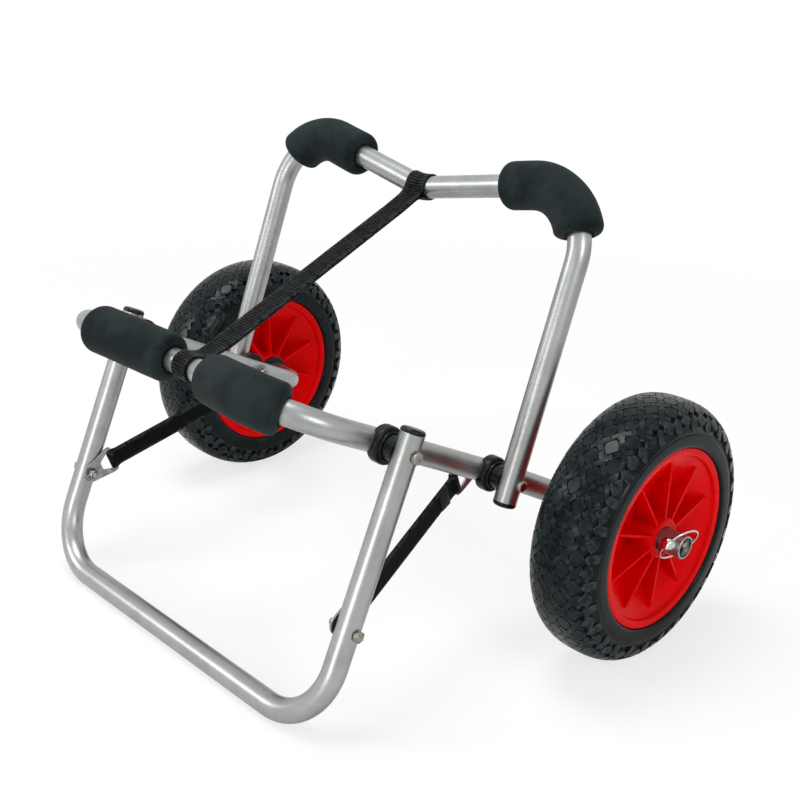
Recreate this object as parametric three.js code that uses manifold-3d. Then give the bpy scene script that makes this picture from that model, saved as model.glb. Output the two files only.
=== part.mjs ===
// Folding kayak cart in millimetres, +Z up. The hull lies in a cradle of webbing
// between two padded bars. The front of the cart, with its kickstand, is towards -Y.
import * as THREE from "three";
import { mergeVertices } from "three/addons/utils/BufferGeometryUtils.js";
import Module from "manifold-3d";

const wasm = await Module();
wasm.setup();

// Wheels
const tyreRadius = 127;
const tyreHalfWidth = 35.3;
const tyreTreadHalfWidth = 12;
const treadDepth = 2.6;
const treadSink = 1.5;
const treadRowSpacing = 11.7;
const treadPeriods = 27;
const treadRows = [-2, -1, 0, 1, 2];
const treadPhase = THREE.MathUtils.degToRad(10);
const treadBlockShare = 0.63;
const treadStarShare = 0.31;
const rimRadius = 87.4;
const rimHalfWidth = 32.9;
const rimFlangeThickness = 3.7;
const beadDepth = 7.4;
const lipDepth = 6.9;
const dishEdgeDepth = 18.4;
const dishStep = 5.8;
const dishFloorDepth = 20.9;
const webEdgeThickness = 16;
const wheelSegments = 36;
const ribCount = 10;
const ribPhase = THREE.MathUtils.degToRad(14.9);
const ribThickness = 2.4;
const ribInset = 1;
const hubRadius = 24;
const hubLength = 66.4;
const hubInset = 2.1;
const bushWall = 2.2;
const washerRadius = 17;
const washerThickness = 4.4;

// Tubes
const tubeDiameter = 22;
const tubeWall = 1.5;
const tubeSides = 12;
const bendRadius = 60;
const axleBendRadius = 75;
const apexBendRadius = 60;
const bendSteps = 5;
const apexSteps = 2;

// Main frame: one bent tube, its ends turned outward as the axles
const frameSlope = THREE.MathUtils.degToRad(26.78);
const frameArmSpacing = 346.6;
const frameLength = 361.4;
const frameDip = 33.6;
const axlePastHub = 22.8;

// Legs of the arch and the kickstand stand this far outside the frame's arms
const legOutset = 33.5;

// Rear arch
const archPivotAlongArm = 97.3;
const archLean = THREE.MathUtils.degToRad(20.1);
const archLength = 277.5;
const archDip = 38.8;
const archTail = 19.2;

// Kickstand
const standPivotFromFront = 111.8;
const standSlope = THREE.MathUtils.degToRad(66.6);
const standTail = 17.8;
const standBracketAlongLeg = 155;

// Origin, in front of the axle
const axleBehindOrigin = 103.3;

// Foam sleeves
const foamRadius = 23;
const foamSides = 14;
const leftFrontFoamStart = 16;
const rightFrontFoamStart = 54;
const frontFoamLength = 98;
const leftArchFoamFromLeg = 111.8;
const rightArchFoamFromLeg = 96.8;
const archFoamLength = 108;

// End plugs
const plugCapThickness = 4;
const plugSpigotLength = 11;
const plugChamfer = 1.2;

// Pivots: bolt, two saddles between leg and arm, nut
const boltDiameter = 6;
const boltHeadAcrossFlats = 10;
const boltHeadHeight = 4.2;
const nutAcrossFlats = 10;
const nutHeight = 5.2;
const threadPast = 2.4;
const armSaddleRadius = 17;
const legSaddleRadius = 11.5;
const saddleSeamShare = 0.52;
const armWrapShare = 0.62;
const legWrapShare = 0.4;
const roundSides = 16;

// Strap brackets: a pressed plate with a bolt hole and a window whose far side is a bar
const bracketThickness = 2;
const bracketBoltRadius = 8.5;
const bracketBarDistance = 27;
const bracketWidth = 30;
const bracketBarWidth = 4;
const bracketCorner = 1.2;
const windowHeight = 12;
const windowSideWall = 3.6;
const windowTopShare = 0.4;

// Webbing
const cradleWebbingWidth = 25;
const cradleWebbingThickness = 3.4;
const cradleEyeWall = 3.2;
const cradleNeckShare = 2;
const limitWebbingWidth = 20;
const limitWebbingThickness = 3;
const limitEyeRadius = 4.4;

// Lynch pins
const pinDiameter = 6;
const pinFromTubeEnd = 8.6;
const pinTilt = THREE.MathUtils.degToRad(22);
const pinHeadDiameter = 9.5;
const pinHeadStart = 12;
const pinHeadEnd = 22.5;
const pinTipPast = 6;
const ringRadius = 20;
const ringWireDiameter = 2;
const ringHoleFromAxle = 18;
const ringHoleDiameter = 4;
const ringTwist = THREE.MathUtils.degToRad(32);
const ringSteps = 24;
const ringSides = 6;

// Clearances
const touchGap = 0.3;
const tubeGap = 0.3;
const boltGap = 0.3;
const hubEndGap = 0.4;
const overrun = 4;
const mergeDistance = 1e-4;

// Derived sizes
const tubeRadius = tubeDiameter / 2;
const boreRadius = tubeRadius - tubeWall;
const armX = frameArmSpacing / 2;
const legX = armX + legOutset;
const standPivotAlongArm = frameLength - standPivotFromFront;
const boltRadius = boltDiameter / 2;
const holeRadius = boltRadius + boltGap;
const sleeveRadius = tubeRadius + tubeGap;
const flatOf = (sides) => Math.cos(Math.PI / sides);
const axleHeight = tyreRadius * flatOf(wheelSegments);
const washerInnerX = armX + axleBendRadius + touchGap;
const hubInnerX = washerInnerX + washerThickness + hubEndGap;
const wheelX = hubInnerX + hubLength / 2 + hubInset;
const axleEndX = hubInnerX + hubLength + axlePastHub;
const beadRadius = rimRadius - beadDepth;
const lipRadius = rimRadius - lipDepth;
const dishRadius = rimRadius - dishEdgeDepth;
const dishFloorRadius = rimRadius - dishFloorDepth;
const frontFoamStarts = { left: leftFrontFoamStart, right: rightFrontFoamStart };
const archFoamStarts = { left: legX - leftArchFoamFromLeg, right: legX - rightArchFoamFromLeg };

// Colours and finishes
const finish = (color, roughness, metalness) =>
  new THREE.MeshStandardMaterial({ color, roughness, metalness });
const aluminium = finish(0xc9cccb, 0.38, 0.9);
const foam = finish(0x2b3132, 0.92, 0);
const rubber = finish(0x15181a, 0.8, 0);
const redPlastic = finish(0xd40808, 0.32, 0);
const blackPlastic = finish(0x17191b, 0.5, 0);
const webbing = finish(0x101214, 0.85, 0);
const steel = finish(0xb4b6b8, 0.3, 1);
const darkSteel = finish(0x3a3d40, 0.45, 0.85);

// Solids: geometry in and out of the boolean kernel
function solidOf(geometry) {
  const bare = geometry.clone();
  bare.deleteAttribute("normal");
  bare.deleteAttribute("uv");
  const merged = mergeVertices(bare, mergeDistance);
  const mesh = new wasm.Mesh({
    numProp: 3,
    vertProperties: merged.attributes.position.array,
    triVerts: new Uint32Array(merged.index.array),
  });
  return new wasm.Manifold(mesh);
}

function geometryOf(solid) {
  const mesh = solid.getMesh();
  const geometry = new THREE.BufferGeometry();
  geometry.setAttribute("position", new THREE.BufferAttribute(mesh.vertProperties, 3));
  geometry.setIndex(new THREE.BufferAttribute(mesh.triVerts, 1));
  geometry.computeVertexNormals();
  return geometry;
}

const joined = (parts) => geometryOf(parts.map(solidOf).reduce((a, b) => a.add(b)));
const cut = (body, tools) =>
  geometryOf(tools.map(solidOf).reduce((a, b) => a.subtract(b), solidOf(body)));

// A round bar along X from x0 to x1, centred on y and z
function barX(radius, x0, x1, y = 0, z = 0, sides = roundSides) {
  const bar = new THREE.CylinderGeometry(radius, radius, x1 - x0, sides);
  bar.rotateZ(-Math.PI / 2);
  bar.translate((x0 + x1) / 2, y, z);
  return bar;
}

// A solid of revolution about X from a closed loop of [x, radius] points
function latheX(loop, segments, turn = 0) {
  const points = loop.map(([x, r]) => new THREE.Vector2(r, x));
  const body = new THREE.LatheGeometry([...points, points[0].clone()], segments);
  body.rotateY(turn);
  body.rotateZ(-Math.PI / 2);
  return body;
}

// A washer or ring along X with a bore
const ringX = (outer, inner, x0, x1, sides = roundSides) =>
  latheX([[x0, inner], [x0, outer], [x1, outer], [x1, inner]], sides);

// A path given by its stations: points with exact tangents, one section at each
class StationPath extends THREE.Curve {
  constructor(stations) {
    super();
    this.stations = stations;
  }
  getUtoTmapping(u) {
    return u;
  }
  at(t) {
    return this.stations[Math.round(t * (this.stations.length - 1))];
  }
  getPoint(t) {
    return this.at(t).point.clone();
  }
  getTangent(t) {
    return this.at(t).tangent.clone();
  }
}

// Straight runs joined by arcs, in the XY plane: corners are [x, y, bend radius, steps]
function roundedStations(corners) {
  const points = corners.map(([x, y]) => new THREE.Vector3(x, y, 0));
  const headings = points.slice(1).map((p, i) => p.clone().sub(points[i]).normalize());
  const stations = [{ point: points[0], tangent: headings[0] }];
  for (let i = 1; i < points.length - 1; i++) {
    const [before, after] = [headings[i - 1], headings[i]];
    const [, , radius, steps] = corners[i];
    const turn = before.angleTo(after);
    const reach = radius * Math.tan(turn / 2);
    const axis = before.clone().cross(after).normalize();
    const start = points[i].clone().addScaledVector(before, -reach);
    const toCentre = axis.clone().cross(before);
    const centre = start.clone().addScaledVector(toCentre, radius);
    for (let k = 0; k <= steps; k++) {
      const angle = (turn * k) / steps;
      const arm = toCentre.clone().negate().applyAxisAngle(axis, angle);
      const point = centre.clone().addScaledVector(arm, radius);
      stations.push({ point, tangent: before.clone().applyAxisAngle(axis, angle) });
    }
  }
  stations.push({ point: points.at(-1), tangent: headings.at(-1) });
  return stations;
}

// The stretch of a path between two distances along it
function stretch(stations, from, to) {
  const out = [];
  let travelled = 0;
  const between = (a, b, share) => ({
    point: a.point.clone().lerp(b.point, share),
    tangent: a.tangent.clone().lerp(b.tangent, share).normalize(),
  });
  for (let i = 0; i < stations.length - 1; i++) {
    const [a, b] = [stations[i], stations[i + 1]];
    const run = a.point.distanceTo(b.point);
    const next = travelled + run;
    if (from >= travelled && from < next) out.push(between(a, b, (from - travelled) / run));
    if (next > from && next < to) out.push(b);
    if (to > travelled && to <= next) out.push(between(a, b, (to - travelled) / run));
    travelled = next;
  }
  return out;
}

// A round section swept along stations; an inner radius makes it a pipe
function pipe(stations, outer, inner, sides, turn = 0) {
  const circle = (radius, clockwise) => {
    const points = [];
    for (let k = 0; k < sides; k++) {
      const angle = turn + ((k + 0.5) * 2 * Math.PI) / sides;
      points.push(new THREE.Vector2(radius * Math.cos(angle), radius * Math.sin(angle)));
    }
    return clockwise ? points.reverse() : points;
  };
  const section = new THREE.Shape(circle(outer, false));
  if (inner > 0) section.holes.push(new THREE.Path(circle(inner, true)));
  const steps = stations.length - 1;
  const extrudePath = new StationPath(stations);
  return new THREE.ExtrudeGeometry(section, { steps, extrudePath, bevelEnabled: false });
}

// Paths of the three bent tubes, each in its own plane: X across, Y along the legs
const framePath = roundedStations([
  [-axleEndX, 0],
  [-armX, 0, axleBendRadius, bendSteps],
  [-armX, frameLength, bendRadius, bendSteps],
  [0, frameLength - frameDip, apexBendRadius, apexSteps],
  [armX, frameLength, bendRadius, bendSteps],
  [armX, 0, axleBendRadius, bendSteps],
  [axleEndX, 0],
]);
const archPath = roundedStations([
  [-legX, -archTail],
  [-legX, archLength, bendRadius, bendSteps],
  [0, archLength - archDip, apexBendRadius, apexSteps],
  [legX, archLength, bendRadius, bendSteps],
  [legX, -archTail],
]);
const armDirection = new THREE.Vector2(-Math.cos(frameSlope), Math.sin(frameSlope));
const onArm = (distance) =>
  new THREE.Vector2(0, axleHeight).addScaledVector(armDirection, distance);
const standPivot = onArm(standPivotAlongArm);
const archPivot = onArm(archPivotAlongArm);
const standLength = (standPivot.y - tubeRadius * flatOf(tubeSides)) / Math.sin(standSlope);
const standPath = roundedStations([
  [-legX, -standTail],
  [-legX, standLength, bendRadius, bendSteps],
  [legX, standLength, bendRadius, bendSteps],
  [legX, -standTail],
]);
const pathLength = (stations) =>
  stations.slice(1).reduce((sum, s, i) => sum + s.point.distanceTo(stations[i].point), 0);

// Groups that carry each tube's plane into the cart's frame
function planeGroup(name, y, z, turn) {
  const group = new THREE.Group();
  group.name = name;
  group.position.set(0, y, z);
  group.rotation.x = turn;
  return group;
}
const frameTurn = Math.PI - frameSlope;
const archTurn = Math.PI / 2 - archLean;
const standTurn = Math.PI + standSlope;
const cart = new THREE.Group();
cart.name = "kayak_cart";
const frameGroup = planeGroup("main_frame", 0, axleHeight, frameTurn);
const archGroup = planeGroup("rear_arch", archPivot.x, archPivot.y, archTurn);
const standGroup = planeGroup("kickstand", standPivot.x, standPivot.y, standTurn);
cart.add(frameGroup, archGroup, standGroup);

function place(parent, name, geometry, material) {
  const mesh = new THREE.Mesh(geometry, material);
  mesh.name = name;
  parent.add(mesh);
  return mesh;
}
const sides = [["left", -1], ["right", 1]];

// A plain group that sits at a point of the cart's frame
function pointGroup(y, z, turn = 0) {
  const group = planeGroup("", y, z, turn);
  cart.add(group);
  return group;
}

// Mirrors a geometry made for the right side over to the left
function sided(geometry, sign) {
  if (sign > 0) return geometry;
  const mirrored = solidOf(geometry).mirror([1, 0, 0]);
  return geometryOf(mirrored);
}

// Main frame tube with holes for pivot bolts and lynch pins
const pinX = axleEndX - pinFromTubeEnd;
const pinDirection = new THREE.Vector3(0, -Math.cos(pinTilt), Math.sin(pinTilt));

// A cylinder along the pin's own direction, between two distances from the axle's centre
function pinBar(radius, from, to, tip = radius, sideCount = roundSides) {
  const bar = new THREE.CylinderGeometry(radius, tip, to - from, sideCount);
  bar.translate(0, (from + to) / 2, 0);
  bar.rotateX(Math.PI - pinTilt);
  bar.translate(pinX, 0, 0);
  return bar;
}

function mainTube() {
  const body = pipe(framePath, tubeRadius, boreRadius, tubeSides);
  const reach = armX + tubeRadius + overrun;
  const pivots = [archPivotAlongArm, standPivotAlongArm];
  const boltHoles = pivots.map((y) => barX(holeRadius, -reach, reach, y));
  const pinHoles = sides.map(([, sign]) => {
    const hole = pinBar(pinDiameter / 2 + boltGap, -tubeRadius - overrun, tubeRadius + overrun);
    hole.rotateX(-frameTurn);
    return sided(hole, sign);
  });
  return cut(body, [...boltHoles, ...pinHoles]);
}
place(frameGroup, "main_frame_tube", mainTube(), aluminium);

// Foam sleeves of the front bar
const frameMiddle = pathLength(framePath) / 2;
for (const [side, sign] of sides) {
  const near = frameMiddle + sign * frontFoamStarts[side];
  const far = near + sign * frontFoamLength;
  const run = stretch(framePath, Math.min(near, far), Math.max(near, far));
  place(frameGroup, "front_foam_" + side, pipe(run, foamRadius, sleeveRadius, foamSides), foam);
}

// Rear arch
function legTube(path, holes, turn = 0) {
  const reach = legX + tubeRadius + overrun;
  const tools = holes.map((y) => barX(holeRadius, -reach, reach, y));
  return cut(pipe(path, tubeRadius, boreRadius, tubeSides, turn), tools);
}
place(archGroup, "arch_tube", legTube(archPath, [0]), aluminium);
const archMiddle = pathLength(archPath) / 2;
for (const [side, sign] of sides) {
  const near = archMiddle + sign * archFoamStarts[side];
  const far = near + sign * archFoamLength;
  const run = stretch(archPath, Math.min(near, far), Math.max(near, far));
  place(archGroup, "arch_foam_" + side, pipe(run, foamRadius, sleeveRadius, foamSides), foam);
}

// Kickstand: its section is turned so that the bar rests on a flat side
const standHoles = [0, standBracketAlongLeg];
const standTube = legTube(standPath, standHoles, -standSlope);
place(standGroup, "kickstand_tube", standTube, aluminium);

// Plugs in the open leg ends
function plug() {
  const spigot = boreRadius * flatOf(tubeSides) - touchGap;
  const start = touchGap;
  const end = touchGap + plugCapThickness;
  const profile = [
    [0, -plugSpigotLength],
    [spigot, -plugSpigotLength],
    [spigot, start],
    [tubeRadius, start],
    [tubeRadius, end - plugChamfer],
    [tubeRadius - plugChamfer, end],
    [0, end],
  ];
  const points = profile.map(([r, y]) => new THREE.Vector2(r, y));
  return new THREE.LatheGeometry(points, roundSides).rotateX(Math.PI);
}
const plugged = [
  ["arch", archGroup, archTail],
  ["kickstand", standGroup, standTail],
];
for (const [name, group, tail] of plugged) {
  for (const [side, sign] of sides) {
    const mesh = place(group, name + "_plug_" + side, plug(), blackPlastic);
    mesh.position.set(sign * legX, -tail, 0);
  }
}

// Saddles: round blocks on the pivot axis, one end hollowed to hug its tube
const seamX = THREE.MathUtils.lerp(armX + tubeRadius, legX - tubeRadius, saddleSeamShare);
function saddle(radius, fromX, toX, tubeX) {
  const body = barX(radius, fromX, toX);
  const tubeCut = new THREE.CylinderGeometry(sleeveRadius, sleeveRadius, 2 * (radius + overrun),
    roundSides);
  tubeCut.translate(tubeX, 0, 0);
  const bore = barX(holeRadius, fromX - overrun, toX + overrun);
  return cut(body, [tubeCut, bore]);
}
const armSaddleStart = armX + tubeRadius * (1 - armWrapShare);
const legSaddleEnd = legX - tubeRadius * (1 - legWrapShare);
const armSaddle = saddle(armSaddleRadius, armSaddleStart, seamX, armX);
const legSaddle = saddle(legSaddleRadius, seamX + touchGap, legSaddleEnd, legX);

// Bolts and nuts: hexagonal heads outboard, nuts inboard
function bolt(headFace, tip) {
  const head = barX(boltHeadAcrossFlats / 2 / flatOf(6), headFace, headFace + boltHeadHeight,
    0, 0, 6);
  return joined([head, barX(boltRadius, tip, headFace + touchGap)]);
}
function nut(outerFace) {
  const body = barX(nutAcrossFlats / 2 / flatOf(6), outerFace - nutHeight, outerFace, 0, 0, 6);
  return cut(body, [barX(holeRadius, outerFace - nutHeight - overrun, outerFace + overrun)]);
}

// Strap bracket in the YZ plane: bolt hole at the origin, the bar towards +Y
function bracket(innerX) {
  const half = bracketWidth / 2;
  const barEnd = bracketBarDistance + bracketBarWidth / 2;
  const plate = new THREE.Shape([
    new THREE.Vector2(0, -bracketBoltRadius),
    new THREE.Vector2(bracketBarDistance - bracketBarWidth, -half),
    new THREE.Vector2(barEnd - bracketCorner, -half),
    new THREE.Vector2(barEnd, -half + bracketCorner),
    new THREE.Vector2(barEnd, half - bracketCorner),
    new THREE.Vector2(barEnd - bracketCorner, half),
    new THREE.Vector2(bracketBarDistance - bracketBarWidth, half),
    new THREE.Vector2(0, bracketBoltRadius),
  ]);
  const windowFar = bracketBarDistance - bracketBarWidth / 2;
  const windowHalf = half - windowSideWall;
  plate.holes.push(new THREE.Path([
    new THREE.Vector2(windowFar, -windowHalf),
    new THREE.Vector2(windowFar - windowHeight, -windowHalf * windowTopShare),
    new THREE.Vector2(windowFar - windowHeight, windowHalf * windowTopShare),
    new THREE.Vector2(windowFar, windowHalf),
  ]));
  const sheet = new THREE.ExtrudeGeometry(plate, { depth: bracketThickness, bevelEnabled: false });
  const disc = new THREE.CylinderGeometry(bracketBoltRadius, bracketBoltRadius, bracketThickness,
    roundSides);
  disc.rotateX(Math.PI / 2);
  disc.translate(0, 0, bracketThickness / 2);
  const hole = new THREE.CylinderGeometry(holeRadius, holeRadius, bracketThickness + 2 * overrun,
    roundSides);
  hole.rotateX(Math.PI / 2);
  const body = cut(joined([sheet, disc]), [hole]);
  body.rotateY(Math.PI / 2);
  body.rotateX(Math.PI / 2);
  body.translate(innerX, 0, 0);
  return body;
}

// Limit straps run between the kickstand bracket bolt and the arch pivot bolt
const standBracketPoint = new THREE.Vector2(-Math.cos(standSlope), -Math.sin(standSlope))
  .multiplyScalar(standBracketAlongLeg)
  .add(standPivot);
const strapLine = archPivot.clone().sub(standBracketPoint);
const strapAngle = Math.atan2(strapLine.y, strapLine.x);
const armPlateX = armX - tubeRadius - touchGap - bracketThickness;
const legPlateX = legX - tubeRadius - touchGap - bracketThickness;

function limitStrap() {
  const run = strapLine.length() - 2 * bracketBarDistance;
  const half = bracketThickness / 2;
  const from = new THREE.Vector2(bracketBarDistance, legPlateX + half);
  const to = new THREE.Vector2(bracketBarDistance + run, armPlateX + half);
  const line = to.clone().sub(from);
  const along = (radius, y, x) => {
    const eye = new THREE.CylinderGeometry(radius, radius, limitWebbingWidth, roundSides);
    eye.rotateX(Math.PI / 2);
    eye.translate(x, y, 0);
    return eye;
  };
  const band = new THREE.BoxGeometry(limitWebbingThickness, line.length(), limitWebbingWidth);
  band.rotateZ(Math.atan2(-line.y, line.x));
  band.translate((from.y + to.y) / 2, (from.x + to.x) / 2, 0);
  const body = joined([band, along(limitEyeRadius, from.x, from.y),
    along(limitEyeRadius, to.x, to.y)]);
  const barHalf = bracketBarWidth / 2 + touchGap;
  const slot = (y, x) => {
    const hole = new THREE.BoxGeometry(bracketThickness + 2 * touchGap, 2 * barHalf,
      limitWebbingWidth + 2 * overrun);
    hole.translate(x, y, 0);
    return hole;
  };
  return cut(body, [slot(from.x, from.y), slot(to.x, to.y)]);
}

// Pivots of the arch and the kickstand, with brackets and limit straps
const legFace = legX + tubeRadius + touchGap;
const pivots = [
  ["arch", archPivot, archGroup, armPlateX - touchGap, archTurn],
  ["kickstand", standPivot, standGroup, armX - tubeRadius - touchGap, standTurn],
];
for (const [name, pivot, legGroup, nutFace] of pivots) {
  for (const [side, sign] of sides) {
    const armBlock = place(frameGroup, name + "_arm_saddle_" + side, sided(armSaddle, sign),
      blackPlastic);
    const distance = name === "arch" ? archPivotAlongArm : standPivotAlongArm;
    armBlock.position.set(0, distance, 0);
    place(legGroup, name + "_leg_saddle_" + side, sided(legSaddle, sign), blackPlastic);
    const group = pointGroup(pivot.x, pivot.y);
    const tip = nutFace - nutHeight - threadPast;
    place(group, name + "_bolt_" + side, sided(bolt(legFace, tip), sign), steel);
    place(group, name + "_nut_" + side, sided(nut(nutFace), sign), steel);
  }
}
for (const [side, sign] of sides) {
  const armGroup = pointGroup(archPivot.x, archPivot.y, Math.PI + strapAngle);
  place(armGroup, "arm_bracket_" + side, sided(bracket(armPlateX), sign), darkSteel);
  const legGroup = pointGroup(standBracketPoint.x, standBracketPoint.y, strapAngle);
  place(legGroup, "leg_bracket_" + side, sided(bracket(legPlateX), sign), darkSteel);
  const nutFace = legPlateX - touchGap;
  const tip = nutFace - nutHeight - threadPast;
  place(legGroup, "leg_bracket_bolt_" + side, sided(bolt(legFace, tip), sign), steel);
  place(legGroup, "leg_bracket_nut_" + side, sided(nut(nutFace), sign), steel);
  place(legGroup, "limit_strap_" + side, sided(limitStrap(), sign), webbing);
}

// Cradle strap: doubled webbing with a sewn eye round each bar at its lowest point
function cradleStrap() {
  const frameApex = onArm(frameLength - frameDip);
  const archDirection = new THREE.Vector2(Math.sin(archLean), Math.cos(archLean));
  const archApex = archPivot.clone().addScaledVector(archDirection, archLength - archDip);
  const line = archApex.clone().sub(frameApex);
  const eye = sleeveRadius + cradleEyeWall;
  const length = line.length();
  const outline = [];
  const roundTo = (centre, radius, from, to) => {
    for (let k = 0; k <= roundSides; k++) {
      const angle = THREE.MathUtils.lerp(from, to, k / roundSides);
      outline.push(new THREE.Vector2(centre + radius * Math.cos(angle), radius * Math.sin(angle)));
    }
  };
  const neck = Math.acos(cradleWebbingThickness / 2 / eye) / 2;
  const neckEnd = eye * cradleNeckShare;
  const half = cradleWebbingThickness / 2;
  roundTo(0, eye, neck, 2 * Math.PI - neck);
  outline.push(new THREE.Vector2(neckEnd, -half), new THREE.Vector2(length - neckEnd, -half));
  roundTo(length, eye, Math.PI + neck, 3 * Math.PI - neck);
  outline.push(new THREE.Vector2(length - neckEnd, half), new THREE.Vector2(neckEnd, half));
  const depth = cradleWebbingWidth;
  const band = new THREE.ExtrudeGeometry(new THREE.Shape(outline), { depth, bevelEnabled: false });
  band.translate(0, 0, -depth / 2);
  band.rotateX(Math.PI / 2);
  band.rotateZ(Math.PI / 2);
  band.rotateX(line.angle());
  band.translate(0, frameApex.x, frameApex.y);
  const bars = [
    [framePath, frameTurn, 0, axleHeight],
    [archPath, archTurn, archPivot.x, archPivot.y],
  ].map(([path, turn, y, z]) => {
    const middle = pathLength(path) / 2;
    const reach = cradleWebbingWidth + overrun;
    const bar = pipe(stretch(path, middle - reach, middle + reach), sleeveRadius, 0, tubeSides);
    bar.rotateX(turn);
    bar.translate(0, y, z);
    return bar;
  });
  return cut(band, bars);
}
place(cart, "cradle_strap", cradleStrap(), webbing);

// Wheels
const tyreHeight = tyreRadius - rimRadius;
const tyreShoulderShares = [
  [1.0, 0.14],
  [0.99, 0.31],
  [0.92, 0.54],
  [0.78, 0.74],
  [0.57, 0.9],
];
const tyreWalls = 2;
const tyreOuter = [
  ...tyreShoulderShares.map(([x, r]) => [x * tyreHalfWidth, rimRadius + r * tyreHeight]),
  [tyreTreadHalfWidth, tyreRadius],
].map(([x, r]) => new THREE.Vector2(x, r));

// The tyre's outer surface at a distance from the middle of its tread, as seen on its flats
function treadSurface(distance) {
  const points = [new THREE.Vector2(0, tyreRadius), ...[...tyreOuter].reverse()];
  let left = Math.abs(distance);
  let i = 0;
  while (i < points.length - 2 && left > points[i].distanceTo(points[i + 1])) {
    left -= points[i].distanceTo(points[i + 1]);
    i += 1;
  }
  const share = left / points[i].distanceTo(points[i + 1]);
  const point = points[i].clone().lerp(points[i + 1], share);
  return new THREE.Vector2(Math.sign(distance) * point.x, point.y - tyreRadius + axleHeight);
}

// One tread block: a prism with a flat top, sunk into the carcass
function treadBlock(corners, row, share, turn) {
  const halfWidth = share * treadRowSpacing;
  const halfLength = (share * Math.PI * tyreRadius) / treadPeriods;
  const low = treadSurface(row * treadRowSpacing - halfWidth);
  const high = treadSurface(row * treadRowSpacing + halfWidth);
  const half = low.distanceTo(high) / 2;
  const top = new THREE.Shape(corners.map(([x, y]) => new THREE.Vector2(x * half, y * halfLength)));
  const depth = treadDepth + treadSink;
  const block = new THREE.ExtrudeGeometry(top, { depth, bevelEnabled: false });
  const across = high.clone().sub(low).normalize();
  const middle = low.clone().lerp(high, 0.5);
  const frame = new THREE.Matrix4().makeBasis(
    new THREE.Vector3(across.x, across.y, 0),
    new THREE.Vector3(0, 0, 1),
    new THREE.Vector3(across.y, -across.x, 0),
  );
  frame.setPosition(middle.x, middle.y, 0);
  return block.applyMatrix4(frame).rotateX(turn);
}

function tyre() {
  const flange = rimHalfWidth - rimFlangeThickness - touchGap;
  const seat = beadRadius + touchGap;
  // Under the tread the carcass lies a groove's depth inside the outer surface
  const carcass = tyreOuter.map((point, i) => {
    if (i < tyreWalls) return point;
    const next = tyreOuter[i + 1] ?? new THREE.Vector2(0, tyreRadius);
    const along = next.clone().sub(tyreOuter[i - 1]).normalize();
    return point.clone().add(new THREE.Vector2(-along.y, along.x).multiplyScalar(treadDepth));
  });
  const right = [
    [flange, seat],
    [flange, rimRadius + touchGap],
    [rimHalfWidth, rimRadius + 2 * touchGap],
    ...carcass.map((point) => [point.x, point.y]),
  ];
  const left = right.map(([x, r]) => [-x, r]).reverse();
  const body = latheX([...left, ...right].reverse(), wheelSegments, Math.PI / wheelSegments);
  const rhomb = [[1, 0], [0, 1], [-1, 0], [0, -1]];
  const square = [[1, 1], [-1, 1], [-1, -1], [1, -1]];
  const blocks = [];
  for (let k = 0; k < treadPeriods; k++) {
    const at = (steps) => treadPhase + (2 * Math.PI * (k + steps)) / treadPeriods;
    for (const row of treadRows) {
      blocks.push(treadBlock(rhomb, row, treadBlockShare, at(row % 2 ? 0.5 : 0)));
    }
    blocks.push(treadBlock(square, 0, treadStarShare, at(0.5)));
  }
  const whole = [body, ...blocks].map(solidOf).reduce((a, b) => a.add(b));
  return geometryOf(whole.asOriginal().simplify(mergeDistance));
}
const tyreBody = tyre();
function rim() {
  const bore = tubeRadius + tubeGap + bushWall + tubeGap;
  const hubFace = (sign) => (sign * hubLength) / 2 - hubInset;
  const dishEdge = rimHalfWidth - dishStep;
  const half = (sign) => [
    [sign * (rimHalfWidth - rimFlangeThickness), beadRadius],
    [sign * (rimHalfWidth - rimFlangeThickness), rimRadius],
    [sign * rimHalfWidth, rimRadius],
    [sign * rimHalfWidth, lipRadius],
    [sign * dishEdge, dishRadius],
    [(sign * webEdgeThickness) / 2, dishFloorRadius],
    [hubFace(sign), hubRadius],
    [hubFace(sign), bore],
  ];
  const loop = [...half(1), ...half(-1).reverse()];
  const body = latheX(loop, wheelSegments, Math.PI / wheelSegments);
  // Each rib is one plate through the conical web: it shows on both faces of the wheel
  const ribEnd = (dishRadius + lipRadius) / 2;
  const ribHub = (hubRadius + bore) / 2;
  const plate = new THREE.Shape([
    new THREE.Vector2(hubFace(-1) + ribInset, ribHub),
    new THREE.Vector2(hubFace(1) - ribInset, ribHub),
    new THREE.Vector2(hubFace(1) - ribInset, hubRadius),
    new THREE.Vector2(dishEdge, dishRadius),
    new THREE.Vector2(dishEdge, ribEnd),
    new THREE.Vector2(-dishEdge, ribEnd),
    new THREE.Vector2(-dishEdge, dishRadius),
    new THREE.Vector2(hubFace(-1) + ribInset, hubRadius),
  ]);
  const ribs = [];
  for (let k = 0; k < ribCount; k++) {
    const rib = new THREE.ExtrudeGeometry(plate, { depth: ribThickness, bevelEnabled: false });
    rib.translate(0, 0, -ribThickness / 2);
    rib.rotateX(ribPhase + (2 * Math.PI * k) / ribCount);
    ribs.push(rib);
  }
  return joined([body, ...ribs]);
}
for (const [side, sign] of sides) {
  const wheel = pointGroup(0, axleHeight);
  wheel.name = "wheel_" + side;
  const carrier = new THREE.Group();
  carrier.position.x = sign * wheelX;
  wheel.add(carrier);
  place(carrier, "tyre_" + side, tyreBody, rubber);
  place(carrier, "rim_" + side, sided(rim(), sign), redPlastic);
  const bushOuter = tubeRadius + tubeGap + bushWall;
  const bushEnd = hubInnerX + hubLength;
  const bush = ringX(bushOuter, sleeveRadius, hubInnerX, bushEnd);
  place(wheel, "bush_" + side, sided(bush, sign), blackPlastic);
  const washer = ringX(washerRadius, sleeveRadius, washerInnerX, washerInnerX + washerThickness);
  place(wheel, "washer_" + side, sided(washer, sign), blackPlastic);
}

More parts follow.
